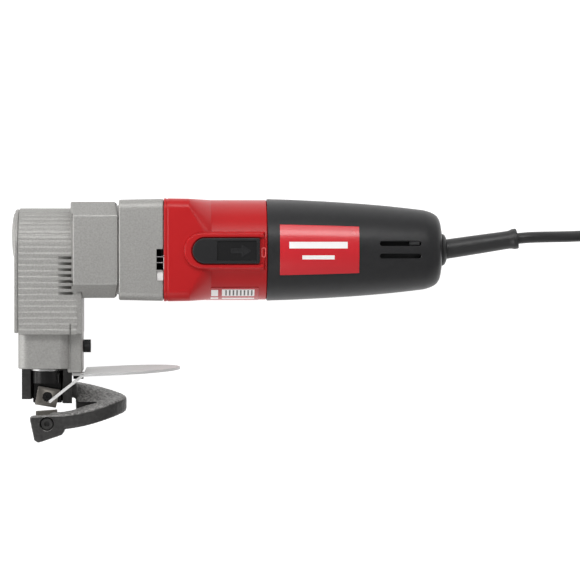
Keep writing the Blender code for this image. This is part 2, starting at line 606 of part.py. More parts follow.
def build_rear_cover():
    end = REAR_PROFILE[-1][1]
    web_front, web_rear, seat = REAR_BEARING_X - 0.6, REAR_BEARING_X + 7.4, BEARING_RADIUS + GAP
    before = [(r - REAR_WALL, x) for r, x in REAR_PROFILE[:1]]
    after = [(r - REAR_WALL, x) for r, x in REAR_PROFILE[3:7]]
    web = [(rear_radius(web_front) - REAR_WALL, web_front), (seat, web_front), (seat, web_rear),
           (rear_radius(web_rear) - REAR_WALL, web_rear)]
    inner = before + web + after
    profile = [*REAR_PROFILE, (8.6, end), (8.6, end - 3.2), (21.0, end - 3.4), *reversed(inner)]
    cover = turned("rear_cover", profile, BLACK, steps=36)
    for number, angle in enumerate((30, 90, 150, 210, 270, 330)):
        y, z = 20.5 * math.cos(math.radians(angle)), 20.5 * math.sin(math.radians(angle))
        cut(cover, rod(f"carrier_vent_{number}", 4.6, 105, 125, at=(0, y, z), steps=10))
    cut(cover, box("link_passage", (105, -LINK_HALF - 0.8, 23.0), (125, LINK_HALF + 0.8, 27.6)))
    for number, y in enumerate(AIR_SLOT_HEIGHTS):
        cut(cover, box(f"air_slot_{number}", (AIR_SLOT_FRONT, y - AIR_SLOT_HALF, -FAR),
                       (AIR_SLOT_REAR, y + AIR_SLOT_HALF, FAR)))


def build_labels():
    def patch(name, low, high, lift, thickness, look):
        outer = [(rear_radius(x) if x > MOTOR_REAR else MOTOR_RADIUS, x)
                 for x in (low[0] - 2, (low[0] + high[0]) / 2, high[0] + 2)]
        profile = [(r + lift + thickness, x) for r, x in outer] + [(r + lift, x) for r, x in reversed(outer)]
        skin = turned(name, profile, look, steps=64)
        combine(skin, "INTERSECT", [box(name + "_window", low, high)])

    patch("nameplate", (89.5, -16.2, 5), (141.2, 16.3, 60), GAP, 0.5, RED)
    patch("rating_label", (41.9, -40.0, 2.0), (76.0, -24.6, 60), GAP, 0.4, RED)


def build_switch():
    knob = prism("switch_knob", stadium(KNOB_FRONT, KNOB_REAR, KNOB_HALF), KNOB_BOTTOM, KNOB_TOP, BLACK,
                 along="Z")
    soften(knob, 0.8, 2, 60)
    join(knob, box("knob_stem", (53.0, KNOB_Y - 2.4, LINK_TOP + GAP), (59.0, KNOB_Y + 2.4, KNOB_BOTTOM + 1)))
    box("switch_link", (46.0, -LINK_HALF, LINK_BOTTOM), (141.0, LINK_HALF, LINK_TOP), STEEL)
    body = soften(box("switch_body", (127.0, -9.0, 6.0), (152.0, 9.0, 22.0), BLACK), 0.8, 1)
    join(body, box("switch_slider", (136.0, -3.0, 21.0), (142.0, 3.0, LINK_BOTTOM - GAP)))


def build_bearings():
    for name, x, y, radius, bore, length in (
        ("crank_front_bearing", -80.3, CRANK_Y, BEARING_RADIUS, 4.3, 7.0),
        ("crank_rear_bearing", -26.4, CRANK_Y, BEARING_RADIUS, 4.3, 7.0),
        ("intermediate_bush_front", -44.9, INTERMEDIATE_Y, 4.5, 3.3, 5.2),
        ("intermediate_bush_rear", -3.4, INTERMEDIATE_Y, 4.2, 3.3, 5.0),
        ("motor_front_bearing", -2.7, ARMATURE_Y, BEARING_RADIUS, SHAFT_RADIUS + GAP, 7.0),
        ("motor_rear_bearing", REAR_BEARING_X, ARMATURE_Y, BEARING_RADIUS, SHAFT_RADIUS + GAP, 7.0),
    ):
        ring(name, radius, bore, x, x + length, BRONZE if "bush" in name else STEEL, (0, y, 0))


def build_crank():
    shaft = turned("crankshaft", (
        (0, -57.6), (6.5, -57.6), (6.5, -56.2), (5.0, -56.2), (5.0, -27.0), (4.0, -27.0), (4.0, -19.6),
        (0, -19.6)), STEEL, parent=CRANK)
    front = turned("crank_front_journal", (
        (0, -80.0), (4.0, -80.0), (4.0, -70.0), (6.5, -70.0), (6.5, -68.2), (0, -68.2)), parent=CRANK)
    join(shaft, front, rod("crank_pin", 3.2, -69.0, -57.0, at=(0, THROW, 0), parent=CRANK))
    gear = prism("crank_gear", gear_outline(MODULE_SLOW, TEETH_CRANK, math.pi + math.pi / TEETH_CRANK),
                 -38.0, -28.0, STEEL, parent=CRANK)
    cut(gear, rod("crank_gear_bore", 5.3, -50, 0, parent=CRANK))
    block = box("slide_block", (PLUNGER_X - 5, THROW - SLIDE_HALF, -SLIDE_HALF),
                (PLUNGER_X + 5, THROW + SLIDE_HALF, SLIDE_HALF), BRONZE, parent=CRANK)
    cut(block, rod("slide_block_bore", 3.5, -80, -50, at=(0, THROW, 0), parent=CRANK))


def build_intermediate():
    shaft = rod("intermediate_shaft", 3.0, -44.5, 1.4, STEEL, parent=INTERMEDIATE)
    join(shaft, prism("intermediate_pinion", gear_outline(MODULE_SLOW, TEETH_PINION, 0.0), -38.5, -27.8,
                      parent=INTERMEDIATE))
    wheel = gear_outline(MODULE_FAST, TEETH_INTERMEDIATE, math.pi / TEETH_INTERMEDIATE)
    gear = prism("intermediate_gear", wheel, -12.0, -4.2, STEEL, parent=INTERMEDIATE)
    cut(gear, rod("intermediate_gear_bore", 3.0 + GAP, -30, 10, parent=INTERMEDIATE))


def build_armature():
    shaft = turned("armature_shaft", (
        (0, -3.9), (3.0, -3.9), (SHAFT_RADIUS, -3.0), (SHAFT_RADIUS, 119.6), (0, 119.6)), STEEL)
    join(shaft, prism("motor_pinion", gear_outline(MODULE_FAST, TEETH_MOTOR, math.pi), -12.6, -3.3))
    bore = SHAFT_RADIUS + GAP
    core = prism("armature_core", star(ARMATURE_SLOTS, SLOT_FLOOR, CORE_RADIUS, CORE_TOOTH_HALF),
                 CORE_FRONT, CORE_REAR, LAMINATION)
    cut(core, rod("core_bore", bore, 0, FAR))
    half_pitch = math.pi / ARMATURE_SLOTS
    across, up = math.cos(half_pitch), math.sin(half_pitch)
    coils = [(y * across - z * up, y * up + z * across)
             for y, z in star(ARMATURE_SLOTS, SLOT_FLOOR, CORE_RADIUS - 0.6, 1.0)]
    winding = prism("armature_winding", coils, CORE_FRONT - 5, CORE_REAR + 5, COPPER)
    cut(winding, rod("winding_bore", bore, 0, FAR),
        rod("winding_core_room", SLOT_FLOOR + 0.5, CORE_FRONT - GAP, CORE_REAR + GAP, steps=48))
    ring("commutator", COMMUTATOR_RADIUS, bore, 90.0, 105.0, COPPER, steps=24)
    fan = prism("fan", star(FAN_BLADES, 7.0, FAN_RADIUS - 0.6, 0.7), 6.6, 12.6, BLACK)
    join(fan, rod("fan_plate", FAN_RADIUS, 12.0, 13.6, steps=36))
    cut(fan, rod("fan_bore", bore, 0, 20))


def flattened_circle(radius, flat, steps=8):
    """A circle cut off at z = flat and z = -flat, as (y, z) points."""
    turn = math.asin(flat / radius)
    angles = [-turn + 2 * turn * i / steps for i in range(steps + 1)]
    angles += [math.pi + angle for angle in angles]
    return [(radius * math.cos(a), radius * math.sin(a)) for a in angles]


def stator_bore():
    """The round bore with the two recesses that the field coils lie in, as (y, z) points."""
    recess, outer, steps = math.radians(53.5), 23.8, 8
    pole = math.pi - 2 * recess
    points = []
    for middle in (0.0, math.pi):
        points += [(outer, middle - recess + 2 * recess * i / steps) for i in range(steps + 1)]
        points += [(STATOR_BORE, middle + recess + pole * i / 6) for i in range(7)]
    return [(r * math.cos(a), r * math.sin(a)) for r, a in points]


def build_stator():
    core = prism("stator_core", flattened_circle(STATOR_RADIUS, STATOR_FLAT), STATOR_FRONT, STATOR_REAR,
                 LAMINATION)
    cut(core, prism("stator_bore", stator_bore(), 0, FAR))
    for name, middle in (("field_coil_top", 0.0), ("field_coil_bottom", math.pi)):
        prism(name, sector(18.6, 23.4, middle, math.radians(52)), STATOR_FRONT - 5, STATOR_REAR + 4.5,
              COPPER)
    for side, name in ((1, "top"), (-1, "bottom")):
        low, high = sorted((12.0 * side, 27.0 * side))
        holder = box(f"brush_holder_{name}", (BRUSH_X - 6, low, -5.5), (BRUSH_X + 6, high, 5.5), BRASS)
        low, high = sorted((5.0 * side, 40.0 * side))
        cut(holder, box(f"brush_way_{name}", (BRUSH_X - 4, low, -3.6), (BRUSH_X + 4, high, 3.6)))
        low, high = sorted(((COMMUTATOR_RADIUS + 0.4) * side, 23.0 * side))
        box(f"carbon_brush_{name}", (BRUSH_X - 3.7, low, -3.3), (BRUSH_X + 3.7, high, 3.3), CARBON)


def build_plunger():
    plunger = rod("plunger", PLUNGER_RADIUS, -88.5, -6.0, BLACK_STEEL, (PLUNGER_X, 0, 0), "Y", 24)
    pin_y = CRANK_Y + THROW
    head = box("plunger_head", (PLUNGER_X - 5, -8.0, -11.0), (PLUNGER_X + 5, 19.4, 11.0))
    soften(head, 2.0, 2, 60)
    holder = box("blade_holder", (-72.4, -100.9, -14.0), (-53.4, -86.0, -6.3))
    soften(holder, 0.8, 1)
    join(plunger, head, holder)
    reach = SLIDE_HALF + THROW + 0.9
    rise = SLIDE_HALF + SLIDE_PLAY
    cut(
        plunger,
        box("slide_slot", (-90, pin_y - rise, -reach), (-40, pin_y + rise, reach)),
        box("holder_step", (-80, -95, -6.2), (-45, -87.5, 20)),
        rod("holder_hole", BLADE_SCREW_HOLE, -30, 10, at=(*UPPER_SCREW, 0), along="Z", steps=16),
    )
    blade = prism("upper_blade", UPPER_BLADE, -BLADE_THICKNESS - 0.1, -0.1, STEEL, along="Z")
    cut(blade, turned("upper_blade_hole", (
        (0, -20), (BLADE_SCREW_HOLE, -20), (BLADE_SCREW_HOLE, -3.6), (3.2, -3.4), (3.2, 5), (0, 5)),
        at=(*UPPER_SCREW, 0), along="Z", steps=16))
    screw("upper_blade_screw", 2.0, 2.9, 3.0, 12.0, BLACK_STEEL, (*UPPER_SCREW, -0.3), "Z", -1)
    lower = prism("lower_blade", LOWER_BLADE, 0.2, 0.2 + BLADE_THICKNESS, STEEL, along="Z")
    cut(lower, rod("lower_blade_hole", BLADE_SCREW_HOLE, 2.0, 20, at=(*LOWER_SCREW, 0), along="Z", steps=16))


def arm_sections():
    """Oblong sections with eased corners, each from the arm's outer edge to its inner edge."""
    sections = []
    for edges in smooth_through(ARM_EDGES, 14.0):
        outside, inside = Vector(edges[:3]), Vector(edges[3:])
        middle, across = (outside + inside) / 2, (outside - inside).normalized()
        half = (outside - inside).length / 2
        sections.append([middle + across * side + Vector((0, up - ARM_HEIGHT / 2, 0))
                         for side, up in rounded_rectangle(half, ARM_HEIGHT / 2, 2.5, 1)])
    return sections


def build_yoke():
    yoke = ring("yoke", TUBE_RADIUS, TUBE_BORE, -101.0, -50.0, CASTING, (PLUNGER_X, 0, 0), "Y", 24)
    back = box("yoke_back", (PLUNGER_X - 14.0, -100.0, -16.9), (PLUNGER_X + 12.0, -79.6, -6.0))
    join(yoke, soften(back, 1.5, 2))
    cut(
        yoke,
        rod("yoke_bore", TUBE_BORE, -120, -60, at=(PLUNGER_X, 0, 0), along="Y", steps=24),
        box("yoke_near_opening", (-90, -120, 1.5), (-30, -78.0, 40)),
        box("yoke_middle_opening", (PLUNGER_X - 9.9, -120, -14.4), (PLUNGER_X + 9.9, -82.5, 40)),
        box("yoke_front_foot", (-90, -120, -40), (PLUNGER_X, -98.2, 40)),
    )
    arm = loft("yoke_arm", arm_sections())
    block = soften(prism("yoke_block", BLOCK, BLOCK_FAR, BLOCK_NEAR, along="Z"), 1.5, 2, 50)
    join(yoke, arm, block)
    cut(yoke, turned("block_counterbore", ((0, 0), (2.4, 0), (2.4, 13.5), (4.4, 13.5), (4.4, 30), (0, 30)),
                     at=(*LOWER_SCREW, 0), along="Z", steps=20))
    screw("lower_blade_screw", 2.1, 3.9, 3.6, 13.6, BLACK_STEEL, (*LOWER_SCREW, 17.4), "Z", -1)
    ring("guide_bush", BUSH_RADIUS, PLUNGER_RADIUS + GAP, -79.4, -40.5, BRIGHT, (PLUNGER_X, 0, 0), "Y")


def build_deflector():
    """A bent plate: a tongue under the barrel, a tab under the flange and a finger beside the blades."""
    length, steps = TONGUE_END - TONGUE_STRAIGHT_END, 14
    quarter = [math.pi / 2 * i / steps for i in range(steps)]
    rim = [(TONGUE_STRAIGHT_END + length * math.sin(a), TONGUE_HALF * math.cos(a)) for a in quarter]
    outline = [(TONGUE_FRONT, TONGUE_HALF), *rim, (TONGUE_END, 0), *[(x, -z) for x, z in reversed(rim)],
               (TONGUE_FRONT, -TONGUE_HALF)]
    tongue = prism("deflector", [(z, x - TONGUE_FRONT) for x, z in outline], 0, SHEET_THICKNESS, BRIGHT,
                   along="Y")
    turn = Matrix.Rotation(TONGUE_SLOPE, 3, "Z") @ Matrix.Rotation(TONGUE_LEAN, 3, "X") @ ALONG["Y"]
    tongue.rotation_euler = turn.to_euler()
    tongue.location = Vector((TONGUE_FRONT, SHEET_TOP - SHEET_THICKNESS / 2, 0)) * MM
    tab = box("deflector_tab", (-46.0, -82.4, -12), (TONGUE_FRONT + 1.2, -80.6, 12))
    finger = loft("deflector_finger", [
        [(x, y, z) for x, y in ((-37.2, -79.6), (-36.2, -81.2), (-60.4, -100.4), (-61.4, -98.8))]
        for z in (2.6, 12.0)
    ])
    join(tongue, tab, finger)
    cut(tongue, rod("deflector_hole", 2.3, -FAR, -70, at=DEFLECTOR_SCREW, along="Y", steps=12))
    x, _, z = DEFLECTOR_SCREW
    screw("deflector_screw", 1.9, 3.4, 2.4, 11.0, BLACK_STEEL, (x, DEFLECTOR_SCREW_FACE, z), "Y")


def build_relief():
    base = turned("strain_relief", (
        (0, 189.6), (11.0, 189.6), (11.0, 193.3), (8.2, 193.3), (8.2, 197.1), (10.5, 197.1), (10.0, 198.6),
        (8.0, 200.2), (0, 200.8)), RUBBER, steps=20)
    length = math.dist(RELIEF_START, RELIEF_END)
    tilt = Matrix.Rotation(RELIEF_TILT, 3, "Z") @ ALONG["X"]
    boot = turned("relief_boot", (
        (0, -4), (6.4, -4), (6.4, 6), (5.9, length - 9), (5.9, length - 4), (6.7, length - 3),
        (6.7, length), (0, length)), at=(*RELIEF_START, 0), turn=tilt, steps=16)
    join(base, boot)


def build_lead():
    tube("cord_lead", LEAD_ROUTE, CORD_RADIUS, RUBBER)
    tube("cord_tail", TAIL_ROUTE, CORD_RADIUS, RUBBER)
    x, y = COIL_CENTRE
    coil = ring("cord_coil", COIL_OUTER_TURN + CORD_RADIUS, COIL_INNER_TURN - CORD_RADIUS, 0.0, COIL_HEIGHT,
                RUBBER, (x, y, 0), "Z", 40, parent=None)
    middle = (COIL_OUTER_TURN + COIL_INNER_TURN) / 2
    spread = (COIL_OUTER_TURN - COIL_INNER_TURN) / 2 + CORD_RADIUS
    place = (x + middle * math.cos(TIE_ANGLE), y + middle * math.sin(TIE_ANGLE), 0)

    def band(name, reach, low, high, half_width, look=None):
        made = box(name, (-reach, -half_width, low), (reach, half_width, high), look, parent=None)
        made.location += Vector(place) * MM
        made.rotation_euler = (0, 0, TIE_ANGLE)
        return made

    cut(coil, band("tie_groove", spread + 5, -2, 1.4, 5.4))
    tie = band("cord_tie", spread + 2.1, 0.0, 16.2, 4.8, RUBBER)
    cut(tie, band("tie_window", spread + 1.1, 1.1, 15.1, 20))
    sections = []
    for down, wide, thick, corner in (
        (0, 6.5, 6.0, 5.5), (8, 7.0, 6.5, 5.5), (16, 11.0, 10.0, 8.0), (24, 17.0, 12.6, 10.0),
        (40, 17.6, 12.8, 11.0), (41.5, 16.8, 12.0, 10.4),
    ):
        sections.append([(PLUG_X + across, PLUG_Y - down, PLUG_HEIGHT + up)
                         for across, up in rounded_rectangle(wide, thick, corner, 4)])
    plug = loft("plug_body", sections, BLACK, parent=None)
    face = PLUG_Y - 41.5
    insert = prism("plug_insert", rounded_rectangle(7.0, 13.5, 4, 3, centre=(PLUG_HEIGHT, PLUG_X)),
                   face - 1.2, face + 3.5, BRASS, along="Y", parent=None)
    cut(plug, prism("insert_seat", rounded_rectangle(7.3, 13.8, 4.3, 3, centre=(PLUG_HEIGHT, PLUG_X)),
                    face - 5, face + 3.8, along="Y", parent=None))
    for side in (-1, 1):
        join(insert, turned(
            f"plug_pin_{side}", ((0, 2.0), (2.4, 2.0), (2.4, -16.5), (1.8, -18.5), (0, -18.5)),
            at=(PLUG_X + side * 9.5, face, PLUG_HEIGHT), along="Y", steps=16, parent=None))


def build():
    build_front()
    build_head()
    build_collar()
    build_gear_cover()
    build_motor_housing()
    build_rear_cover()
    build_labels()
    build_switch()
    build_bearings()
    build_crank()
    build_intermediate()
    build_armature()
    build_stator()
    build_plunger()
    build_yoke()
    build_deflector()
    screw("clamp_screw", 2.5, 4.25, 5.0, 12.0, BLACK_STEEL, (-34.0, CLAMP_SCREW_Y, 0), "X", -1)
    for number, (y, z) in enumerate(CASE_SCREWS, 1):
        screw(f"case_screw_{number}", 1.6, 2.5, 3.0, CASE_SCREW_LENGTH, BLACK_STEEL,
              (CASE_SCREW_FRONT, y, z), "X")
    build_relief()
    build_lead()


build()
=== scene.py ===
"""The looks of an electric sheet-metal shear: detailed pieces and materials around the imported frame.

Lengths are in millimetres and turned into metres by MM. Pieces of the tool are drawn about the
barrel's axis, so their z is counted from it; the lead, its tie and its plug are drawn from the bench.
"""

import json
import math

import bmesh
import bpy
from mathutils import Matrix, Vector, noise


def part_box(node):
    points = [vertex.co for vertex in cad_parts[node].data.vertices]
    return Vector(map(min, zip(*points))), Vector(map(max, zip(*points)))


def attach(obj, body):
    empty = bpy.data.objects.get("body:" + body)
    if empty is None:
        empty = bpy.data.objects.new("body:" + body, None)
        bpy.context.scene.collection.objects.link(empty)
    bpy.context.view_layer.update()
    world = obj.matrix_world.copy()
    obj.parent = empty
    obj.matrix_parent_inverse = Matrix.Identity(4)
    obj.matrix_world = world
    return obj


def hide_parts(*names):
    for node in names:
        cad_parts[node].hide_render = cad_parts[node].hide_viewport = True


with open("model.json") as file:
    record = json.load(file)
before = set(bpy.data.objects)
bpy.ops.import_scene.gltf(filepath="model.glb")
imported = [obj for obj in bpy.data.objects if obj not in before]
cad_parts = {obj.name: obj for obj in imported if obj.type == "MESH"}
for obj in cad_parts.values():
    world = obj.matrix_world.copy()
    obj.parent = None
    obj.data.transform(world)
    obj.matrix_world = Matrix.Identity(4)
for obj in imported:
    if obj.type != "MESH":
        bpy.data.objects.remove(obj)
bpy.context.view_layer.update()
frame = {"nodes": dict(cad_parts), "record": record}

MM = 0.001
GAP = 0.3
FAR = 200.0


def extent(node):
    """The lowest and highest corner of a CAD node, in millimetres."""
    low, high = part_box(node)
    return low / MM, high / MM


AXIS_Z = sum(corner.z for corner in extent("gear_cover")) / 2

# The head
HEAD_FRONT = extent("head_housing")[0].x
HEAD_FRONT_CASTING, RIB_END, HEAD_REAR = -80.4, -42.2, extent("head_housing")[1].x
HEAD_RADIUS, HEAD_CENTRE_Y, HEAD_FOOT_Y = 25.0, 2.3, -55.0
RIB_PITCH, RIB_HEIGHT, GROOVE_Y = 3.84, 0.38, -43.6
DEEP_GROOVES = range(4, 11)  # those that run in beside the collar, counted up from GROOVE_Y
FRONT_PLATE, FRONT_PLATE_FOOT_Y = -83.2, -54.2
CRANK_ROOM = (-73.0, -46.2)  # x
NECK_REAR, NECK_BOTTOM, NECK_HALF = -46.8, -77.6, 21.0
FLANGE_BOTTOM, FLANGE_TOP, FLANGE_HALF = -80.2, -48.0, 17.0
COVER_SCREWS = ((12.5, 17.3), (12.5, -17.3), (-36.0, 19.5), (-36.0, -19.5))
CLAMP_SCREW_Y = -63.2
PLUNGER_X = -62.9
CRANK_Y = 8.95
CRANK_AXIS, INTERMEDIATE_AXIS, PLUNGER_AXIS = (0, CRANK_Y, 0), (0, -15.05, 0), (PLUNGER_X, 0, 0)
BEARING_RADIUS = 9.5
BEARING_SEAT = BEARING_RADIUS + GAP
TUBE_RADIUS, TUBE_BORE, BUSH_RADIUS, PLUNGER_RADIUS = 16.5, 10.75, 10.4, 9.4
DEFLECTOR_SCREW = (-42.4, 0.0, -5.0)

# The barrel
COLLAR_ENDS = (  # z, x: the end faces lean back towards the sides
    (-22.3, -46.5), (-31.3, -44.6), (-33.0, -44.3), (-33.0, -15.1), (-31.3, -15.4), (-22.3, -17.5),
    (22.3, -17.5), (31.3, -15.4), (33.0, -15.1), (33.0, -44.3), (31.3, -44.6), (22.3, -46.5),
)
COLLAR_HALF, COLLAR_CHAMFER, COLLAR_FOOT_Y = 31.3, 9.0, -27.2
COVER_FRONT, COVER_REAR = -15.0, extent("gear_cover")[1].x
COVER_HALF_FRONT, COVER_HALF_REAR, COVER_CORNER = 32.6, 33.2, 6.0
SCREW_HOLES_END = 31.0
VENT_FRONT, VENT_REAR = 9.4, 15.0
VENT_Y, INSET_Y = (-13.0, 0.5), (-20.2, -13.6)
BAR_ROWS, BAR_THICKNESS, BAR_DEPTH = (-4.8, -8.6), 0.6, 6.0
MOTOR_FRONT, MOTOR_REAR = extent("motor_housing")[0].x, extent("motor_housing")[1].x
MOTOR_RADIUS, BARREL_BORE = 32.8, 29.8
CASE_SCREWS = tuple((y, z) for y in (21.0, -21.0) for z in (28.1, -28.1))
REAR_PROFILE = (  # radius, x
    (33.5, 81.6), (33.0, 97.3), (32.0, 118.2), (30.7, 139.2), (29.0, 160.1), (26.7, 181.1),
    (25.7, 187.0), (23.6, 192.2), (20.0, 195.3), (13.0, 196.8),
)
SLOT_FRONT, SLOT_REAR, SLOT_HALF, SLOT_ROWS = 154.7, 181.9, 1.5, (4.0, -4.1)
KNOB_Y, KNOB_HALF = -0.65, 8.2
KNOB_FRONT, KNOB_REAR = extent("switch_knob")[0].x, extent("switch_knob")[1].x
KNOB_BOTTOM, KNOB_TOP = 33.9, 37.1
PAD_FRONT, PAD_REAR, PAD_HALF = 48.6, 74.4, 6.6
SURROUND_FRONT, SURROUND_REAR, SURROUND_TOP, SURROUND_HALF = 27.4, 79.0, 35.6, 11.4
POCKET_FLOOR = 33.5
MARK_X, MARK_Y = 78.9, KNOB_Y - 1.0

# The cutting end
ARM_HEIGHT = 10.0
ARM_EDGES = (  # the top of the arm from the rear leg round to the block: x, y, z outside and inside
    (-49.5, -87.2, -10.0, -49.5, -87.2, 1.0), (-44.0, -87.4, -15.5, -44.0, -87.8, -1.5),
    (-37.5, -88.4, -20.5, -43.2, -89.4, -4.0), (-29.0, -90.4, -22.3, -43.6, -91.8, -4.0),
    (-19.5, -92.8, -17.5, -44.2, -95.2, -2.5), (-12.3, -95.0, -8.5, -43.6, -98.4, -0.5),
    (-10.8, -96.4, 2.5, -42.4, -100.8, 1.8), (-16.5, -98.8, 12.8, -41.4, -102.6, 4.0),
    (-26.5, -102.2, 18.0, -43.0, -103.8, 5.6), (-38.0, -105.4, 19.2, -46.0, -104.6, 6.3),
    (-50.0, -107.4, 19.0, -51.0, -105.6, 6.5), (-60.0, -108.2, 18.6, -60.0, -106.4, 6.6),
)
BLOCK_OUTLINE = ((-73.4, -108.6), (-73.3, -110.6), (-70.4, -124.4), (-68.0, -126.0), (-52.4, -120.8),
                 (-50.9, -118.6), (-50.9, -107.6))
UPPER_SCREW, LOWER_SCREW = (-62.6, -96.7), (-62.2, -113.6)

# The lead
CORD_RADIUS, CORD_LENGTH = 3.65, 2.0
RELIEF_TILT = math.radians(8.5)
RELIEF_START, RELIEF_END = (199.4, 0.3), (247.3, 7.45)
COIL_CENTRE = (362.0, -38.0)
COIL_OUTER_TURN, COIL_INNER_TURN = 52.5, 26.8
BOTTOM_TURNS, TOP_TURNS = 3.5, 3.25
BOTTOM_LAYER, TOP_LAYER = 3.75, 11.1
LAYER_CHANGE, TAIL_RISE = 0.4, 0.3  # in turns
TIE_ANGLE = math.radians(40)
TIE_SPREAD, TIE_LIFT = 0.35, 0.8  # over how many radians and how far the tie lifts the coil
LEAD_ROUTE = (  # x, y, height above the bench
    (247.7, 7.5, 33.6), (253.0, 8.0, 33.5), (259.0, 8.3, 32.6), (267.0, 8.5, 30.1), (277.0, 8.7, 25.2),
    (288.0, 9.0, 18.7), (299.0, 9.7, 12.4), (310.0, 10.8, 7.6), (321.0, 12.2, 4.8), (330.0, 13.2, 3.9),
    (345.0, 14.3, BOTTOM_LAYER), (362.0, 14.5, BOTTOM_LAYER),
)
TAIL_ROUTE = (
    (309.6, -38.0, 18.8), (311.2, -28.6, 19.2), (316.5, -19.0, 19.9), (325.0, -12.2, 21.0),
    (335.0, -9.4, 22.6), (345.5, -11.0, 24.4), (354.5, -16.8, 26.2), (360.5, -25.2, 27.4),
    (362.7, -34.0, 28.0), (363.0, -38.2, 28.0),
)
PLUG = Vector((363.0, -38.6, 28.0))
PLUG_LENGTH, PIN_SPREAD, RIDGE_PITCH = 41.5, 9.5, 2.4

# The view: the point at the middle of the picture, and the camera's distance and lean from square on
VIEW_CENTRE = Vector((97.1, -26.5, AXIS_Z))
VIEW_DISTANCE, VIEW_WIDTH = 2000.0, 382.5
VIEW_YAW, VIEW_PITCH = math.radians(2.0), math.radians(0.8)
SENSOR = 36.0

# The light: the sky's strength near the horizon and overhead, and the lamps
SKY_LOW, SKY_TOP = 0.55, 0.3
LAMPS = (  # name, place, size, watts
    ("key", (60, 520, 560), (700, 300), 1.5),
    ("strip", (70, 175, 270), (560, 60), 0.48),
    ("fill", (-300, -700, 900), (700, 700), 4.0),
    ("side", (-620, 60, 260), (260, 360), 2.0),
)
LAMP_AIM = Vector((80, 0, 20))
FLOOR_SIZE = 6000

ALONG = {
    "X": Matrix(((0, 0, 1), (1, 0, 0), (0, 1, 0))),
    "Y": Matrix(((0, 1, 0), (0, 0, 1), (1, 0, 0))),
    "Z": Matrix.Identity(3),
}
scene = bpy.context.scene


# ---- shapes ----

def solid(bm, lift=True):
    """A bare object from a bmesh in millimetres; lift counts its heights from the barrel's axis."""
    bmesh.ops.translate(bm, vec=(0, 0, AXIS_Z if lift else 0), verts=bm.verts)
    bmesh.ops.scale(bm, vec=(MM, MM, MM), verts=bm.verts)
    bmesh.ops.recalc_face_normals(bm, faces=bm.faces)
    mesh = bpy.data.meshes.new("shape")
    bm.to_mesh(mesh)
    bm.free()
    thing = bpy.data.objects.new("shape", mesh)
    scene.collection.objects.link(thing)
    return thing


def polar(radius, angle):
    return radius * math.cos(angle), radius * math.sin(angle)


def eased(value):
    """A smooth step from 0 to 1."""
    t = min(1.0, max(0.0, value))
    return t * t * (3 - 2 * t)


def lofted(sections, lift=True):
    """A skin over closed rings of equal count, with a flat face at each end."""
    bm = bmesh.new()
    rings = [[bm.verts.new(point) for point in section] for section in sections]
    for here, there in zip(rings, rings[1:]):
        for i, corner in enumerate(here):
            j = (i + 1) % len(here)
            bm.faces.new((corner, here[j], there[j], there[i]))
    bm.faces.new(rings[0])
    bm.faces.new(rings[-1])
    return solid(bm, lift)


def drawn(outline, low, high, at=(0, 0, 0), along="X", lift=True):
    """A flat outline drawn along an axis. Its points are (y, z) along X, (z, x) along Y, (x, y) along Z."""
    axes = ALONG[along]
    return lofted([[Vector(at) + axes @ Vector((u, v, h)) for u, v in outline] for h in (low, high)], lift)


def block(low, high, lift=True):
    (x0, y0, z0), (x1, y1, z1) = low, high
    return drawn(((x0, y0), (x1, y0), (x1, y1), (x0, y1)), z0, z1, along="Z", lift=lift)


def turned(profile, at=(0, 0, 0), along="X", steps=96, turn=None, lift=True):
    """A solid of revolution of (radius, height) points, which closes on itself where it misses the axis."""
    axes = ALONG[along] if turn is None else turn
    bm = bmesh.new()
    rings = []
    for radius, height in profile:
        angles = [2 * math.pi * k / steps for k in range(steps if radius > 0 else 1)]
        places = [Vector(at) + axes @ Vector((*polar(radius, a), height)) for a in angles]
        rings.append([bm.verts.new(place) for place in places])
    for here, there in zip(rings, rings[1:] + (rings[:1] if profile[0][0] > 0 else [])):
        for k in range(steps):
            corners = [here[k % len(here)], here[(k + 1) % len(here)],
                       there[(k + 1) % len(there)], there[k % len(there)]]
            face = list(dict.fromkeys(corners))
            if len(face) > 2:
                bm.faces.new(face)
    return solid(bm, lift)


def rod(radius, start, end, at=(0, 0, 0), along="X", steps=64, lift=True):
    return turned(((0, start), (radius, start), (radius, end), (0, end)), at, along, steps, lift=lift)


def settled(thing, helpers=()):
    """Applies the modifiers, tidies the mesh and removes the shapes that were used up."""
    mesh = bpy.data.meshes.new_from_object(thing.evaluated_get(bpy.context.evaluated_depsgraph_get()))
    thing.modifiers.clear()
    bm = bmesh.new()
    bm.from_mesh(mesh)
    bmesh.ops.remove_doubles(bm, verts=bm.verts, dist=2e-6)
    bmesh.ops.dissolve_degenerate(bm, edges=bm.edges, dist=1e-6)
    bm.to_mesh(mesh)
    bm.free()
    thing.data = mesh
    for helper in helpers:
        bpy.data.objects.remove(helper)
    return thing


def combined(thing, operation, others):
    for other in others:
        step = thing.modifiers.new("step", "BOOLEAN")
        step.operation = operation
        step.object = other
    return settled(thing, others)


def cut(thing, *cutters):
    return combined(thing, "DIFFERENCE", cutters)


def join(thing, *others):
    return combined(thing, "UNION", others)


def add_bevel(thing, width, segments, angle):
    bevel = thing.modifiers.new("rounded_edges", "BEVEL")
    bevel.width = width * MM
    bevel.segments = segments
    bevel.limit_method = "ANGLE"
    bevel.angle_limit = math.radians(angle)


def soften(thing, width, segments=3, angle=35):
    add_bevel(thing, width, segments, angle)
    return settled(thing)


def melted(thing, voxel, rounds):
    """The shape as a casting: its skin evened out into one soft surface."""
    remesh = thing.modifiers.new("skin", "REMESH")
    remesh.mode = "VOXEL"
    remesh.voxel_size = voxel * MM
    smooth = thing.modifiers.new("soft", "SMOOTH")
    smooth.factor = 0.5
    smooth.iterations = rounds
    return settled(thing)


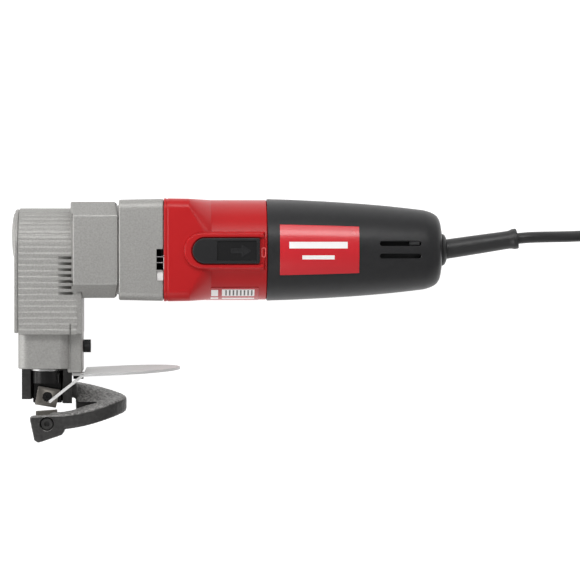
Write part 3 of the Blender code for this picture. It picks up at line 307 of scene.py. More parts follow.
def rounded_rectangle(half_across, half_up, corner, steps=8, centre=(0, 0)):
    points = []
    for quarter in range(4):
        side_across = 1 if quarter in (0, 3) else -1
        side_up = 1 if quarter < 2 else -1
        for step in range(steps + 1):
            angle = (quarter + step / steps) * math.pi / 2
            points.append((centre[0] + side_across * (half_across - corner) + corner * math.cos(angle),
                           centre[1] + side_up * (half_up - corner) + corner * math.sin(angle)))
    return points


def stadium(front, rear, half, centre_y=KNOB_Y, rear_corner=0.0, steps=24):
    """An (x, y) outline with a half-round front end and a square or slightly rounded rear end."""
    nose = [(front + half - half * math.cos(a), centre_y - half * math.sin(a))
            for a in (math.pi * (i / steps - 0.5) for i in range(steps + 1))]
    if not rear_corner:
        return [(rear, centre_y + half), *nose, (rear, centre_y - half)]
    arc = [(rear - rear_corner + rear_corner * math.cos(a), half - rear_corner + rear_corner * math.sin(a))
           for a in (math.pi / 2 * i / 6 for i in range(7))]
    return [*[(x, centre_y + y) for x, y in arc], *nose, *[(x, centre_y - y) for x, y in reversed(arc)]]


def slot_outline(front, rear, centre_y, half, steps=10):
    """A long (x, y) outline that is half round at both ends."""
    turns = [math.pi * i / steps for i in range(steps + 1)]
    return ([(rear - half + half * math.sin(a), centre_y + half * math.cos(a)) for a in turns]
            + [(front + half - half * math.sin(a), centre_y - half * math.cos(a)) for a in turns])


def arch(radius, foot_y, steps=64):
    """The (y, z) outline of the head: a half round on straight sides."""
    turns = [math.pi * i / steps for i in range(steps + 1)]
    return [(foot_y, radius), *[(HEAD_CENTRE_Y + radius * math.sin(a), radius * math.cos(a)) for a in turns],
            (foot_y, -radius)]


def smooth_through(route, spacing):
    """Points of a Catmull-Rom curve through the route."""
    knots = [Vector(point) for point in route]
    knots = [2 * knots[0] - knots[1], *knots, 2 * knots[-1] - knots[-2]]
    points = []
    for before, start, end, after in zip(knots, knots[1:], knots[2:], knots[3:]):
        count = max(1, round((end - start).length / spacing))
        for step in range(count):
            t = step / count
            points.append(0.5 * (2 * start + (end - before) * t
                                 + (2 * before - 5 * start + 4 * end - after) * t ** 2
                                 + (3 * start - before - 3 * end + after) * t ** 3))
    return [*points, knots[-2]]


def rear_radius(x):
    """The rear cover's outer radius at x."""
    for (r0, x0), (r1, x1) in zip(REAR_PROFILE, REAR_PROFILE[1:]):
        if x <= x1:
            return r0 + (r1 - r0) * (x - x0) / (x1 - x0)
    return REAR_PROFILE[-1][0]


# ---- materials ----

NOISE_RANGE = (0.15, 0.85)


class Finish:
    """A Principled material whose colour, roughness and bump come from noise in the piece's own frame."""

    def __init__(self, name, colour, roughness, metallic=0.0):
        self.material = bpy.data.materials.new(name)
        self.material.use_nodes = True
        self.tree = self.material.node_tree
        self.shader = self.tree.nodes.get("Principled BSDF")
        self.shader.inputs["Metallic"].default_value = metallic
        self.where = self.node("ShaderNodeTexCoord").outputs["Object"]
        self.colour = colour
        self.roughness = roughness
        self.paint = None
        self.height = None

    def node(self, kind, inputs=(), **settings):
        made = self.tree.nodes.new(kind)
        for key, value in settings.items():
            setattr(made, key, value)
        for slot, value in dict(inputs).items():
            if isinstance(value, bpy.types.NodeSocket):
                self.tree.links.new(value, made.inputs[slot])
            else:
                made.inputs[slot].default_value = value
        return made

    def noise(self, scale, detail=3.0, stretch=(1, 1, 1), roughness=0.55):
        where = self.where
        if stretch != (1, 1, 1):
            where = self.node("ShaderNodeMapping", {"Vector": where, "Scale": stretch}).outputs["Vector"]
        return self.node("ShaderNodeTexNoise", {"Vector": where, "Scale": scale, "Detail": detail,
                                                "Roughness": roughness}).outputs["Fac"]

    def ramp(self, value, low, high, out_low, out_high):
        return self.node("ShaderNodeMapRange", {"Value": value, "From Min": low, "From Max": high,
                                                "To Min": out_low, "To Max": out_high}).outputs["Result"]

    def maths(self, operation, *values):
        return self.node("ShaderNodeMath", enumerate(values), operation=operation).outputs[0]

    def mixed(self, factor, first, second):
        made = self.node("ShaderNodeMix", data_type="RGBA")
        for slot, value in (("Factor", factor), ("A", first), ("B", second)):
            socket = [s for s in made.inputs if s.name == slot and s.enabled][0]
            if isinstance(value, bpy.types.NodeSocket):
                self.tree.links.new(value, socket)
            else:
                socket.default_value = value if isinstance(value, float) else (*value[:3], 1.0)
        return [s for s in made.outputs if s.enabled][0]

    def mottled(self, scale, amount):
        """Colour that wanders a little lighter and darker."""
        darker = [c * (1 - amount) for c in self.colour]
        lighter = [min(1.0, c * (1 + amount)) for c in self.colour]
        self.paint = self.mixed(self.ramp(self.noise(scale), *NOISE_RANGE, 0.0, 1.0), darker, lighter)
        return self

    def marked(self, factor, colour):
        self.paint = self.mixed(factor, self.paint or self.colour, colour)
        return self

    def uneven(self, scale, amount, stretch=(1, 1, 1)):
        """Roughness that wanders about its value."""
        low, high = self.roughness - amount, self.roughness + amount
        rough = self.ramp(self.noise(scale, 4.0, stretch), *NOISE_RANGE, low, high)
        self.tree.links.new(rough, self.shader.inputs["Roughness"])
        return self

    def bumpy(self, scale, depth, detail=2.0, stretch=(1, 1, 1)):
        """Relief of this depth in millimetres."""
        inputs = {"Height": self.noise(scale, detail, stretch), "Distance": depth * MM, "Strength": 1.0}
        if self.height is not None:
            inputs["Normal"] = self.height
        self.height = self.node("ShaderNodeBump", inputs).outputs["Normal"]
        return self

    def socket(self, name, value):
        self.shader.inputs[name].default_value = value
        return self

    def rectangle(self, x0, x1, y0, y1):
        """1 inside a rectangle of the x-y plane, in millimetres."""
        parts = self.node("ShaderNodeSeparateXYZ", {"Vector": self.where})
        inside = []
        for axis, low, high in (("X", x0, x1), ("Y", y0, y1)):
            from_middle = self.maths("SUBTRACT", parts.outputs[axis], (low + high) / 2 * MM)
            distance = self.maths("ABSOLUTE", from_middle)
            inside.append(self.maths("LESS_THAN", distance, (high - low) / 2 * MM))
        return self.maths("MULTIPLY", *inside)

    def facing(self, axis, low, high):
        """0 to 1 as the surface turns towards an axis of the tool."""
        turned_to = self.node("ShaderNodeSeparateXYZ", {
            "Vector": self.node("ShaderNodeTexCoord").outputs["Normal"]}).outputs[axis]
        return self.ramp(turned_to, low, high, 0.0, 1.0)

    def done(self):
        if self.paint is None:
            self.mottled(60.0, 0.06)
        self.tree.links.new(self.paint, self.shader.inputs["Base Color"])
        if not self.shader.inputs["Roughness"].is_linked:
            self.uneven(120.0, 0.05)
        if self.height is not None:
            self.tree.links.new(self.height, self.shader.inputs["Normal"])
        return self.material


def cast_alloy():
    """Bead-blasted die-cast aluminium."""
    return (Finish("cast_alloy", (0.325, 0.32, 0.308), 0.5, 0.5).mottled(850.0, 0.2).uneven(90.0, 0.05)
            .bumpy(1300.0, 0.06).bumpy(4200.0, 0.03).done())


def red_plastic(name="red_plastic", colour=(0.42, 0.011, 0.013)):
    """Glossy moulded polyamide."""
    return (Finish(name, colour, 0.3).mottled(30.0, 0.05).uneven(60.0, 0.04)
            .bumpy(2600.0, 0.006).socket("Specular IOR Level", 0.25).done())


def black_plastic(name="black_plastic", colour=(0.022, 0.022, 0.023), roughness=0.38, depth=0.03):
    """Fine spark-eroded moulding."""
    return (Finish(name, colour, roughness).mottled(180.0, 0.12).uneven(80.0, 0.05)
            .bumpy(2400.0, depth).socket("Specular IOR Level", 0.22).done())


def rubber():
    return (Finish("rubber", (0.018, 0.018, 0.0185), 0.45).mottled(120.0, 0.15).uneven(70.0, 0.08)
            .bumpy(1100.0, 0.02).done())


def steel(name, colour, roughness, stretch=(1, 1, 1), depth=0.008, metallic=1.0):
    """Ground or turned steel, with its tool marks across the stretched direction."""
    return (Finish(name, colour, roughness, metallic).mottled(90.0, 0.08).uneven(160.0, 0.07, stretch)
            .bumpy(900.0, depth, 6.0, stretch).done())


def black_casting():
    """Forged steel under a rough black oxide, with a painted highlight: faces turned up (+Y) are lightened
    in speckles.
    """
    made = Finish("black_casting", (0.042, 0.041, 0.040), 0.42, 0.45).mottled(420.0, 0.35)
    # Painted highlight: faces turned towards +Y are lightened in noise speckles, standing in for light
    # falling on the arm's top.
    painted_top_highlight = made.facing("Y", 0.35, 0.8)
    highlight_speckle = made.ramp(made.noise(620.0, 4.0), 0.42, 0.62, 0.35, 1.0)
    made.marked(made.maths("MULTIPLY", painted_top_highlight, highlight_speckle), (0.5, 0.49, 0.48))
    return made.uneven(300.0, 0.1).bumpy(520.0, 0.22, 4.0).bumpy(1900.0, 0.08).done()


def laminated():
    """Sheets stacked along the barrel, with their edges showing."""
    return (Finish("laminated_steel", (0.16, 0.16, 0.17), 0.45, 0.8).mottled(400.0, 0.2)
            .bumpy(900.0, 0.1, 1.0, (1.0, 0.02, 0.02)).done())


def winding():
    """Enamelled wire laid along the barrel."""
    return (Finish("copper_wire", (0.42, 0.12, 0.035), 0.3, 0.9).mottled(500.0, 0.25)
            .bumpy(1400.0, 0.12, 1.0, (0.03, 1.0, 1.0)).done())


CAST = cast_alloy()
RED = red_plastic()
BLACK = black_plastic()
RUBBER = rubber()
SCREW_STEEL = steel("black_screw", (0.02, 0.02, 0.021), 0.32, metallic=0.6)
PLUNGER_STEEL = steel("blackened_steel", (0.028, 0.027, 0.027), 0.22, (1.0, 0.05, 1.0), metallic=0.7)
BLADE_STEEL = steel("blade_steel", (0.23, 0.215, 0.195), 0.38, (0.08, 1.0, 1.0), 0.015)
DEFLECTOR_STEEL = steel("deflector_steel", (0.56, 0.557, 0.553), 0.5, (0.05, 1.0, 1.0), 0.01, metallic=0.25)
# A lighter, glossier copy of the deflector steel for the finger: a painted highlight on the same sheet.
FINGER_HIGHLIGHT_STEEL = steel("finger_painted_highlight", (0.8, 0.795, 0.79), 0.35, (0.05, 1.0, 1.0), 0.01, metallic=0.35)
ARROW_BLACK = black_plastic("arrow_black", (0.022, 0.022, 0.023), 0.25, 0.01)
SLOT_GREY = black_plastic("slot_grey", (0.34, 0.34, 0.35), 0.4, 0.02)
BRIGHT_STEEL = steel("bright_steel", (0.66, 0.655, 0.65), 0.28, (0.05, 1.0, 1.0), 0.01)
MACHINED = steel("machined_steel", (0.42, 0.42, 0.41), 0.28)
BRONZE = steel("bronze", (0.42, 0.25, 0.10), 0.36)
BRASS = steel("brass", (0.62, 0.45, 0.18), 0.25)
NICKEL = steel("nickel_plate", (0.66, 0.64, 0.6), 0.2)
CARBON = black_plastic("carbon", (0.03, 0.03, 0.033), 0.55, 0.06)
CASTING = black_casting()
LAMINATED = laminated()
COPPER = winding()


# ---- joining pieces to the frame ----

def shade(thing, material, angle):
    """Gives a shape its material, with smooth faces between edges sharper than the angle."""
    thing.data.materials.clear()
    thing.data.materials.append(material)
    thing.data.shade_smooth()
    thing.data.set_sharp_from_angle(angle=math.radians(angle))


def piece(name, thing, material, nodes, body="casing", angle=40):
    """Names a finished shape, gives it its material, and lets it stand for its CAD nodes."""
    thing.name = thing.data.name = name
    shade(thing, material, angle)
    even = thing.modifiers.new("even_normals", "WEIGHTED_NORMAL")
    even.keep_sharp = True
    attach(thing, body)
    if nodes:
        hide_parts(*nodes)
    return thing


def kept(node, material, width=0.0):
    """A CAD node that stays, with a finish, smooth round faces and edges eased by width."""
    thing = frame["nodes"][node]
    weld = thing.modifiers.new("weld", "WELD")
    weld.merge_threshold = 1e-6
    if width:
        add_bevel(thing, width, 2, 40)
    shade(thing, material, 30)


# ---- the head ----

def ribbed_arch():
    """The head's outline, its ribs rounded over and its grooves fading out at the foot."""
    points_per_rib, groove_half, groove_ease, fade_length = 12, 0.10, 0.17, 4.0
    straight = HEAD_CENTRE_Y - HEAD_FOOT_Y
    round_length = math.pi * HEAD_RADIUS
    total = 2 * straight + round_length
    count = round(total / RIB_PITCH * points_per_rib)
    points = []
    for i in range(count + 1):
        along = total * i / count
        phase = ((along + HEAD_FOOT_Y - GROOVE_Y) / RIB_PITCH) % 1.0
        from_groove = min(phase, 1.0 - phase)
        fade = min(1.0, min(along, total - along) / fade_length)
        radius = HEAD_RADIUS - RIB_HEIGHT * (1.0 - eased((from_groove - groove_half) / groove_ease)) * fade
        if along < straight:
            points.append((HEAD_FOOT_Y + along, radius))
        elif along > straight + round_length:
            points.append((HEAD_FOOT_Y + total - along, -radius))
        else:
            angle = (along - straight) / HEAD_RADIUS
            points.append((HEAD_CENTRE_Y + radius * math.sin(angle), radius * math.cos(angle)))
    return points


def rib_hollows():
    """Wedges that deepen the grooves where they run in beside the collar."""
    start, end, depth, half = -54.5, -45.0, 4.2, 0.95
    top, bottom = HEAD_RADIUS + 2.0, HEAD_RADIUS - RIB_HEIGHT
    outline = ((start - 2.0, top), (start, bottom), (end, bottom - depth), (end, top))
    wedges = []
    for side in (1, -1):
        for n in DEEP_GROOVES:
            y = GROOVE_Y + n * RIB_PITCH
            wedges.append(lofted([[Vector((x, y + edge * half, side * z)) for x, z in outline]
                                  for edge in (-1, 1)]))
    return wedges


def build_head():
    foot = HEAD_FOOT_Y + 0.4
    head = soften(drawn(ribbed_arch(), HEAD_FRONT_CASTING, RIB_END), 0.35, 2, 75)
    plain = soften(drawn(arch(HEAD_RADIUS - 0.3, foot), RIB_END - 1, HEAD_REAR), 0.6, 2, 60)
    middle, half = (HEAD_FRONT + NECK_REAR) / 2, (NECK_REAR - HEAD_FRONT) / 2
    neck = drawn(rounded_rectangle(NECK_HALF, half, 7, 12, (0, middle)), NECK_BOTTOM, foot, along="Y")
    flange = block((NECK_REAR - 2, FLANGE_BOTTOM, -FLANGE_HALF), (HEAD_REAR, FLANGE_TOP, FLANGE_HALF))
    head = join(head, plain, soften(neck, 0.8, 3, 60), soften(flange, 1.3, 4))
    holes = [
        drawn(arch(HEAD_RADIUS - 4.0, -40, 24), *CRANK_ROOM),
        rod(BEARING_SEAT, -FAR, CRANK_ROOM[0] + 1, CRANK_AXIS),
        rod(6.2, -47, 0, CRANK_AXIS),
        rod(4.8, -45.2, 0, INTERMEDIATE_AXIS),
        rod(TUBE_RADIUS + GAP, -FAR, -49.5, PLUNGER_AXIS, "Y", 96),
        rod(BUSH_RADIUS + GAP, -60, -39, PLUNGER_AXIS, "Y"),
        rod(2.8, -50, 0, (0, CLAMP_SCREW_Y, 0)),
        rod(2.2, -FAR, -70.0, DEFLECTOR_SCREW, "Y", 24),
        *[rod(1.8, -FAR, -72.0, (0, y, z), steps=16) for y, z in COVER_SCREWS],
        block((NECK_REAR - 0.2, FLANGE_BOTTOM - 1, FLANGE_HALF - 0.5), (NECK_REAR + 0.4, FLANGE_TOP, 60)),
    ]
    piece("head_casting", cut(head, *holes, *rib_hollows()), CAST, ["head_housing"])


def build_front():
    plate_rear, cap_front, cap_rear = HEAD_FRONT_CASTING - 0.05, -83.5, -80.6
    cover = drawn(arch(HEAD_RADIUS - 0.7, FRONT_PLATE_FOOT_Y), FRONT_PLATE, plate_rear)
    sink = ((0, -84), (3.2, -84), (3.1, -82.6), (1.8, -81.3), (1.8, -79), (0, -79))
    cutters = [rod(11.3, -FAR, 0, CRANK_AXIS),
               *[turned(sink, (0, y, z), steps=40) for y, z in COVER_SCREWS]]
    piece("front_cover_plate", cut(soften(cover, 0.9, 4, 60), *cutters), CAST, ["front_cover"])
    turns = [math.pi / 2 * i / 16 for i in range(17)]
    dome = [(15.4 * math.sin(a), cap_front - 2.1 * math.cos(a)) for a in turns]
    rear = ((15.2, cap_front + 0.2), (11.0, cap_front + 0.2), (11.0, cap_rear), (0, cap_rear))
    cap = turned([*dome, *rear], CRANK_AXIS)
    rim = turned(((10.6, -90), (11.5, -90), (11.5, -84.5), (10.6, -84.5)), CRANK_AXIS)
    piece("crank_cap", cut(cap, rim), CAST, ["front_cap"])


def knurled(radius, teeth=36, depth=0.12):
    """A knurled (u, v) outline."""
    corners = teeth * 4
    return [polar(radius - depth * (i % 4 in (2, 3)), 2 * math.pi * i / corners) for i in range(corners)]


def hexagon(radius):
    return [polar(radius, k * math.pi / 3) for k in range(6)]


def screw(node, radius, head_radius, head_length, length, at, along, way=1, sunk=False, look=SCREW_STEEL):
    """A socket screw: the face of its head is at its place, and its shank runs way times the axis."""
    tip = ((radius, length - 0.6), (radius - 0.6, length), (0, length))
    if sunk:
        profile = ((0, 0), (head_radius - 0.1, 0), (head_radius, 0.15), (head_radius, 0.25 * head_length),
                   (radius, head_length), *tip)
        made = turned([(r, way * h) for r, h in profile], at, along, 48)
    else:
        head = drawn(knurled(head_radius), *sorted((0.0, way * head_length)), at, along)
        shank = ((0, 0.5 * head_length), (radius, 0.5 * head_length), *tip)
        made = join(soften(head, 0.12 * head_radius, 2, 70),
                    turned([(r, way * h) for r, h in shank], at, along, 32))
    depth = 0.6 * head_length
    made = cut(made, drawn(hexagon(0.52 * head_radius), -depth, depth, at, along))
    body = next(b for b, nodes in frame["record"]["behaviour"]["bodies"].items() if node in nodes)
    piece(node.replace("screw", "socket_screw"), made, look, [node], body)


# ---- the barrel ----

def case_holes(start, end, heads):
    """Holes for the four long screws, with room for their heads where heads is true."""
    holes = []
    for y, z in CASE_SCREWS:
        holes.append(rod(1.9, start, end, (0, y, z), steps=24))
        if heads:
            holes.append(rod(2.8, -FAR, -40.0, (0, y, z), steps=32))
    return holes


def build_collar():
    half, flat = COLLAR_HALF, COLLAR_HALF - COLLAR_CHAMFER
    outline = [(half, -flat), (half, flat), (flat, half), (-flat, half),
               (-half, flat), (-half, -flat), (-flat, -half), (flat, -half)]
    collar = combined(drawn(outline, -50, -10), "INTERSECT", [drawn(COLLAR_ENDS, -50, 50, along="Y")])
    collar = cut(
        soften(collar, 0.8, 3, 20),
        drawn(arch(HEAD_RADIUS + 0.4, -60), -60, HEAD_REAR + GAP),
        block((-60, -40, -40), (HEAD_REAR + GAP, COLLAR_FOOT_Y, 40)),
        rod(28.3, HEAD_REAR - 1, -27.0, steps=96),
        rod(BEARING_SEAT, -28, 0, CRANK_AXIS),
        rod(4.0, -28, 0, INTERMEDIATE_AXIS),
        rod(29.6, -19.0, 0, steps=96),
        *case_holes(-FAR, SCREW_HOLES_END, True),
    )
    piece("gear_collar_casting", collar, CAST, ["gear_collar"])


def build_gear_cover():
    sections = [[(x, y, z) for y, z in rounded_rectangle(half, AXIS_Z, COVER_CORNER, 12)]
                for x, half in ((COVER_FRONT, COVER_HALF_FRONT), (COVER_REAR, COVER_HALF_REAR))]
    spigot = rod(29.3, -18.6, COVER_FRONT + 1.5, steps=96)
    room = ((0, -20), (27.9, -20), (27.9, -3.5), (BEARING_SEAT, -3.5), (BEARING_SEAT, 5.2),
            (BARREL_BORE, 5.2), (BARREL_BORE, 20), (0, 20))
    cutters = [turned(room), rod(4.5, -5, 1.9, INTERMEDIATE_AXIS),
               *case_holes(-20.0, SCREW_HOLES_END, False)]
    for side in (1, -1):
        for (y0, y1), inner, outer in ((VENT_Y, 24, 40), (INSET_Y, 31.9, 36)):
            z0, z1 = sorted((inner * side, outer * side))
            cutters.append(block((VENT_FRONT, y0, z0), (VENT_REAR, y1, z1)))
    cover = join(soften(lofted(sections), 1.1, 4, 60), spigot)
    piece("gear_cover_casting", cut(cover, *cutters), CAST, ["gear_cover"])


def build_vents():
    """The thin bars behind the air openings, and the bright inset in the recess below the near one."""
    bars = [block((VENT_FRONT - 0.4, y, z), (VENT_REAR + 0.4, y + BAR_THICKNESS, z + BAR_DEPTH))
            for y in BAR_ROWS for z in (25.2, -31.2)]
    first, *others = [soften(bar, 0.15, 1) for bar in bars]
    piece("vent_bars", join(first, *others), SLOT_GREY, [])
    inset = soften(block((9.6, -20.0, 31.2), (13.7, -13.8, 32.3)), 0.2, 2)
    piece("vent_inset", inset, steel("vent_inset_steel", (0.8, 0.79, 0.78), 0.5, metallic=0.2), [])


def build_motor_housing():
    """The red shell: square in front, round behind, with the switch's raised surround and its pocket."""
    front, corner, groove = 33.5, 7.0, 0.25
    round_corner = MOTOR_RADIUS - 0.01
    stations = (
        (MOTOR_FRONT, front - 0.25, corner), (MOTOR_FRONT + 0.3, front, corner),
        (MOTOR_FRONT + 1.4, front, corner), (MOTOR_FRONT + 1.7, front - groove, corner),
        (MOTOR_FRONT + 2.5, front - groove, corner), (MOTOR_FRONT + 2.9, front, corner),
        (30.2, 33.3, corner), (31.2, 33.25, corner + 0.8), (44.6, MOTOR_RADIUS, round_corner - 0.8),
        (45.6, MOTOR_RADIUS, round_corner),
        (MOTOR_REAR - 0.5, MOTOR_RADIUS, round_corner), (MOTOR_REAR, MOTOR_RADIUS - 0.4, round_corner - 0.4),
    )
    housing = lofted([[(x, y, z) for y, z in rounded_rectangle(half, half, round_by, 20)]
                      for x, half, round_by in stations])
    slopes = ((29.0, 1.6), (32.6, 0.5), (34.4, 0.0), (SURROUND_TOP, 0.0))
    surround = lofted([
        [(x, y, z) for x, y in stadium(SURROUND_FRONT - out, SURROUND_REAR + out, SURROUND_HALF + out)]
        for z, out in slopes])
    housing = join(housing, soften(surround, 0.9, 4, 50))
    start, end, half = KNOB_FRONT - 0.6, MOTOR_REAR + 5, KNOB_HALF + 0.5
    lip = ((SURROUND_TOP - 0.5, 0.0), (SURROUND_TOP + 0.1, 0.6), (SURROUND_TOP + 2, 0.6))
    housing = cut(
        housing,
        rod(BARREL_BORE, 0, 200, steps=96),
        drawn(stadium(start, end, half), POCKET_FLOOR, 50, along="Z"),
        lofted([[(x, y, z) for x, y in stadium(start - out, end, half + out)] for z, out in lip]),
        block((50.5, KNOB_Y - 3.2, 20), (66.5, KNOB_Y + 3.2, 40)),
        *case_holes(0.0, SCREW_HOLES_END, False),
    )
    piece("motor_shell", housing, RED, ["motor_housing"], angle=28)


def build_off_mark():
    """The 0 on the floor of the pocket, behind the knob."""
    zero, inner = [
        [(MARK_X + across * u, MARK_Y + up * v) for u, v in rounded_rectangle(1.0, 3.3, 0.99, 8)]
        for across, up in ((1.5, 1.0), (0.85, 0.8))]
    mark = cut(drawn(zero, POCKET_FLOOR - 0.3, POCKET_FLOOR + 0.22, along="Z"),
               drawn(inner, POCKET_FLOOR - 1, POCKET_FLOOR + 1, along="Z"))
    piece("off_mark", mark, red_plastic("raised_mark", (0.75, 0.12, 0.12)), [])


def arrow(tail, neck, tip, half, barb):
    """The (x, y) outline of an arrow that points along +X."""
    lower = ((tail, -half), (neck, -half), (neck, -barb))
    upper = [(x, -y) for x, y in reversed(lower)]
    return [(x, KNOB_Y + y) for x, y in (*lower, (tip, 0.0), *upper)]


def build_knob():
    outline = stadium(KNOB_FRONT, KNOB_REAR, KNOB_HALF, rear_corner=1.2)
    knob = drawn(outline, KNOB_BOTTOM, KNOB_TOP, along="Z")
    low, high = KNOB_Y - PAD_HALF, KNOB_Y + PAD_HALF
    pad = block((PAD_FRONT, low, KNOB_TOP - 0.8), (PAD_REAR, high, KNOB_TOP + 2))
    knob = cut(soften(knob, 0.7, 3, 60), soften(pad, 0.3, 2))
    raised = drawn(arrow(57.5, 64.5, 71.0, 1.6, 4.2), KNOB_TOP - 1.3, KNOB_TOP - 0.35, along="Z")
    sunk = drawn(arrow(58.4, 65.4, 69.6, 0.8, 2.9), KNOB_TOP - 0.75, KNOB_TOP + 1, along="Z")
    stem = block((53.0, KNOB_Y - 2.4, 27.0), (59.0, KNOB_Y + 2.4, KNOB_BOTTOM + 1))
    paint = Finish("knob_black", (0.014, 0.014, 0.015), 0.38).mottled(180.0, 0.12)
    paint.marked(paint.rectangle(PAD_FRONT, PAD_REAR, low, high), (0.006, 0.006, 0.0065))
    paint = paint.uneven(80.0, 0.05).bumpy(2400.0, 0.03).socket("Specular IOR Level", 0.3).done()
    piece("switch_slider", join(knob, stem), paint, ["switch_knob"], "switch_slide")
    piece("switch_arrow", cut(raised, sunk), ARROW_BLACK, [], "switch_slide")


def on_skin(outline, side, out):
    """An (x, y) outline laid on the rear cover, moved out from its skin."""
    return [(x, y, side * (math.sqrt(rear_radius(x) ** 2 - y * y) + out)) for x, y in outline]


def build_rear_cover():
    wall, web_front, web_rear, end = 2.8, 111.7, 119.7, REAR_PROFILE[-1][1]
    outer = [(p.x, p.y) for p in smooth_through([(r, x, 0) for r, x in REAR_PROFILE], 2.5)]
    radius, front = REAR_PROFILE[0]
    inner = [(radius - wall, front), (rear_radius(web_front) - wall, web_front), (BEARING_SEAT, web_front),
             (BEARING_SEAT, web_rear), (rear_radius(web_rear) - wall, web_rear),
             *[(r - wall, x) for r, x in REAR_PROFILE[3:7]]]
    cover = turned([(radius - 0.35, front), (radius, front + 0.35), *outer[1:], (8.6, end), (8.6, end - 3.2),
                    (21.0, end - 3.4), *reversed(inner)], steps=128)
    cutters = [rod(4.6, 105, 125, (0, *polar(20.5, math.radians(30 + 60 * n))), steps=32) for n in range(6)]
    cutters.append(block((105, -3.8, 23.0), (125, 3.8, 27.6)))
    for y in SLOT_ROWS:
        slot = slot_outline(SLOT_FRONT, SLOT_REAR, y, SLOT_HALF)
        wide = slot_outline(SLOT_FRONT - 0.5, SLOT_REAR + 0.5, y, SLOT_HALF + 0.5)
        cutters.append(drawn(slot, -FAR, FAR, along="Z"))
        cutters += [lofted([on_skin(slot, side, -0.45), on_skin(wide, side, 0.08), on_skin(wide, side, 3.0)])
                    for side in (1, -1)]
    piece("rear_shell", cut(cover, *cutters), BLACK, ["rear_cover"], angle=28)
    piece("air_baffle", soften(block((151.0, -7.5, 15.0), (184.0, 7.5, 16.0)), 0.3, 2), BLACK, [])
    sleeve = soften(rod(1.6, 174.5, 181.0, (0, 4.4, 20.5), steps=32), 0.3, 2)
    piece("wire_sleeve", sleeve, SLOT_GREY, [])


def wrapped(x_low, x_high, angle_low, angle_high, radius_at, lift, thickness, steps=24):
    """A thin sticker on the barrel. Angles are from the top, towards +Y."""
    sections = []
    for i in range(steps + 1):
        x = x_low + (x_high - x_low) * i / steps
        ring = []
        for out, turns in ((lift + thickness, range(steps + 1)), (lift, range(steps, -1, -1))):
            for k in turns:
                angle = math.radians(angle_low + (angle_high - angle_low) * k / steps)
                radius = radius_at(x) + out
                ring.append((x, radius * math.sin(angle), radius * math.cos(angle)))
        sections.append(ring)
    return lofted(sections)


def build_nameplate():
    half = math.degrees(math.asin(16.25 / 33.3))
    paint = Finish("nameplate_print", (0.54, 0.012, 0.02), 0.26).mottled(40.0, 0.05)
    for bar in ((95.5, 133.5, 0.9, 5.2), (104.0, 125.0, -6.2, -3.6)):
        paint.marked(paint.rectangle(*bar), (0.86, 0.85, 0.84))
    paint = paint.uneven(70.0, 0.02).socket("Coat Weight", 0.3).done()
    plate = soften(wrapped(89.5, 141.2, -half, half, rear_radius, 0.15, 0.4), 0.12, 2, 60)
    piece("nameplate_sticker", plate, paint, ["nameplate"])


def build_rating_label():
    paint = Finish("rating_print", (0.42, 0.02, 0.025), 0.2).mottled(50.0, 0.08)
    for patch in ((52.0, 73.2, -30.3, -25.9), (45.0, 49.5, -30.3, -26.2), (44.6, 49.6, -32.2, -31.2),
                  (52.0, 73.2, -32.2, -31.4)):
        paint.marked(paint.rectangle(*patch), (0.8, 0.78, 0.77))
    for n in range(8):
        x = 54.2 + 2.4 * n
        paint.marked(paint.rectangle(x, x + 1.0, -29.9, -26.3), (0.06, 0.05, 0.05))
    paint = paint.uneven(70.0, 0.04).bumpy(90.0, 0.02).done()
    label = wrapped(41.9, 76.0, -86.0, -48.2, lambda x: MOTOR_RADIUS, 0.15, 0.3)
    piece("rating_sticker", soften(label, 0.1, 2, 60), paint, ["rating_label"])


def build_relief():
    base = turned((
        (0, 189.6), (11.0, 189.6), (11.0, 193.3), (8.2, 193.3), (8.2, 197.1), (10.1, 197.1), (10.5, 197.5),
        (10.3, 198.3), (9.6, 199.2), (8.0, 200.0), (6.0, 200.6), (0, 200.9)), steps=64)
    length = math.dist(RELIEF_START, RELIEF_END)
    boot = turned((
        (0, -4), (6.45, -4), (6.4, 6), (6.2, length * 0.5), (5.95, length - 10), (5.95, length - 6),
        (6.15, length - 4.4), (6.6, length - 3.2), (6.75, length - 2.6), (6.75, length - 0.6),
        (6.45, length), (4.4, length), (4.2, length - 0.8), (0, length - 0.8)),
        (*RELIEF_START, 0), steps=64, turn=Matrix.Rotation(RELIEF_TILT, 3, "Z") @ ALONG["X"])
    piece("strain_relief_boot", join(base, boot), RUBBER, ["strain_relief"], angle=50)


# ---- the cutting end ----

def arm_sections():
    """Oblong sections with eased corners, each from the arm's outer edge to its inner edge."""
    sections = []
    for edges in smooth_through(ARM_EDGES, 3.0):
        outside, inside = Vector(edges[:3]), Vector(edges[3:])
        middle, across = (outside + inside) / 2, (outside - inside).normalized()
        half = (outside - inside).length / 2
        sections.append([middle + across * side + Vector((0, up - ARM_HEIGHT / 2, 0))
                         for side, up in rounded_rectangle(half, ARM_HEIGHT / 2, 1.8, 3)])
    return sections


def roughened(thing, depth, scale):
    """Moves the skin in and out by a fixed noise."""
    for vertex in thing.data.vertices:
        shift = noise.noise(vertex.co * scale) + 0.5 * noise.noise(vertex.co * scale * 2.3)
        vertex.co += vertex.normal * shift * depth * MM
    return thing


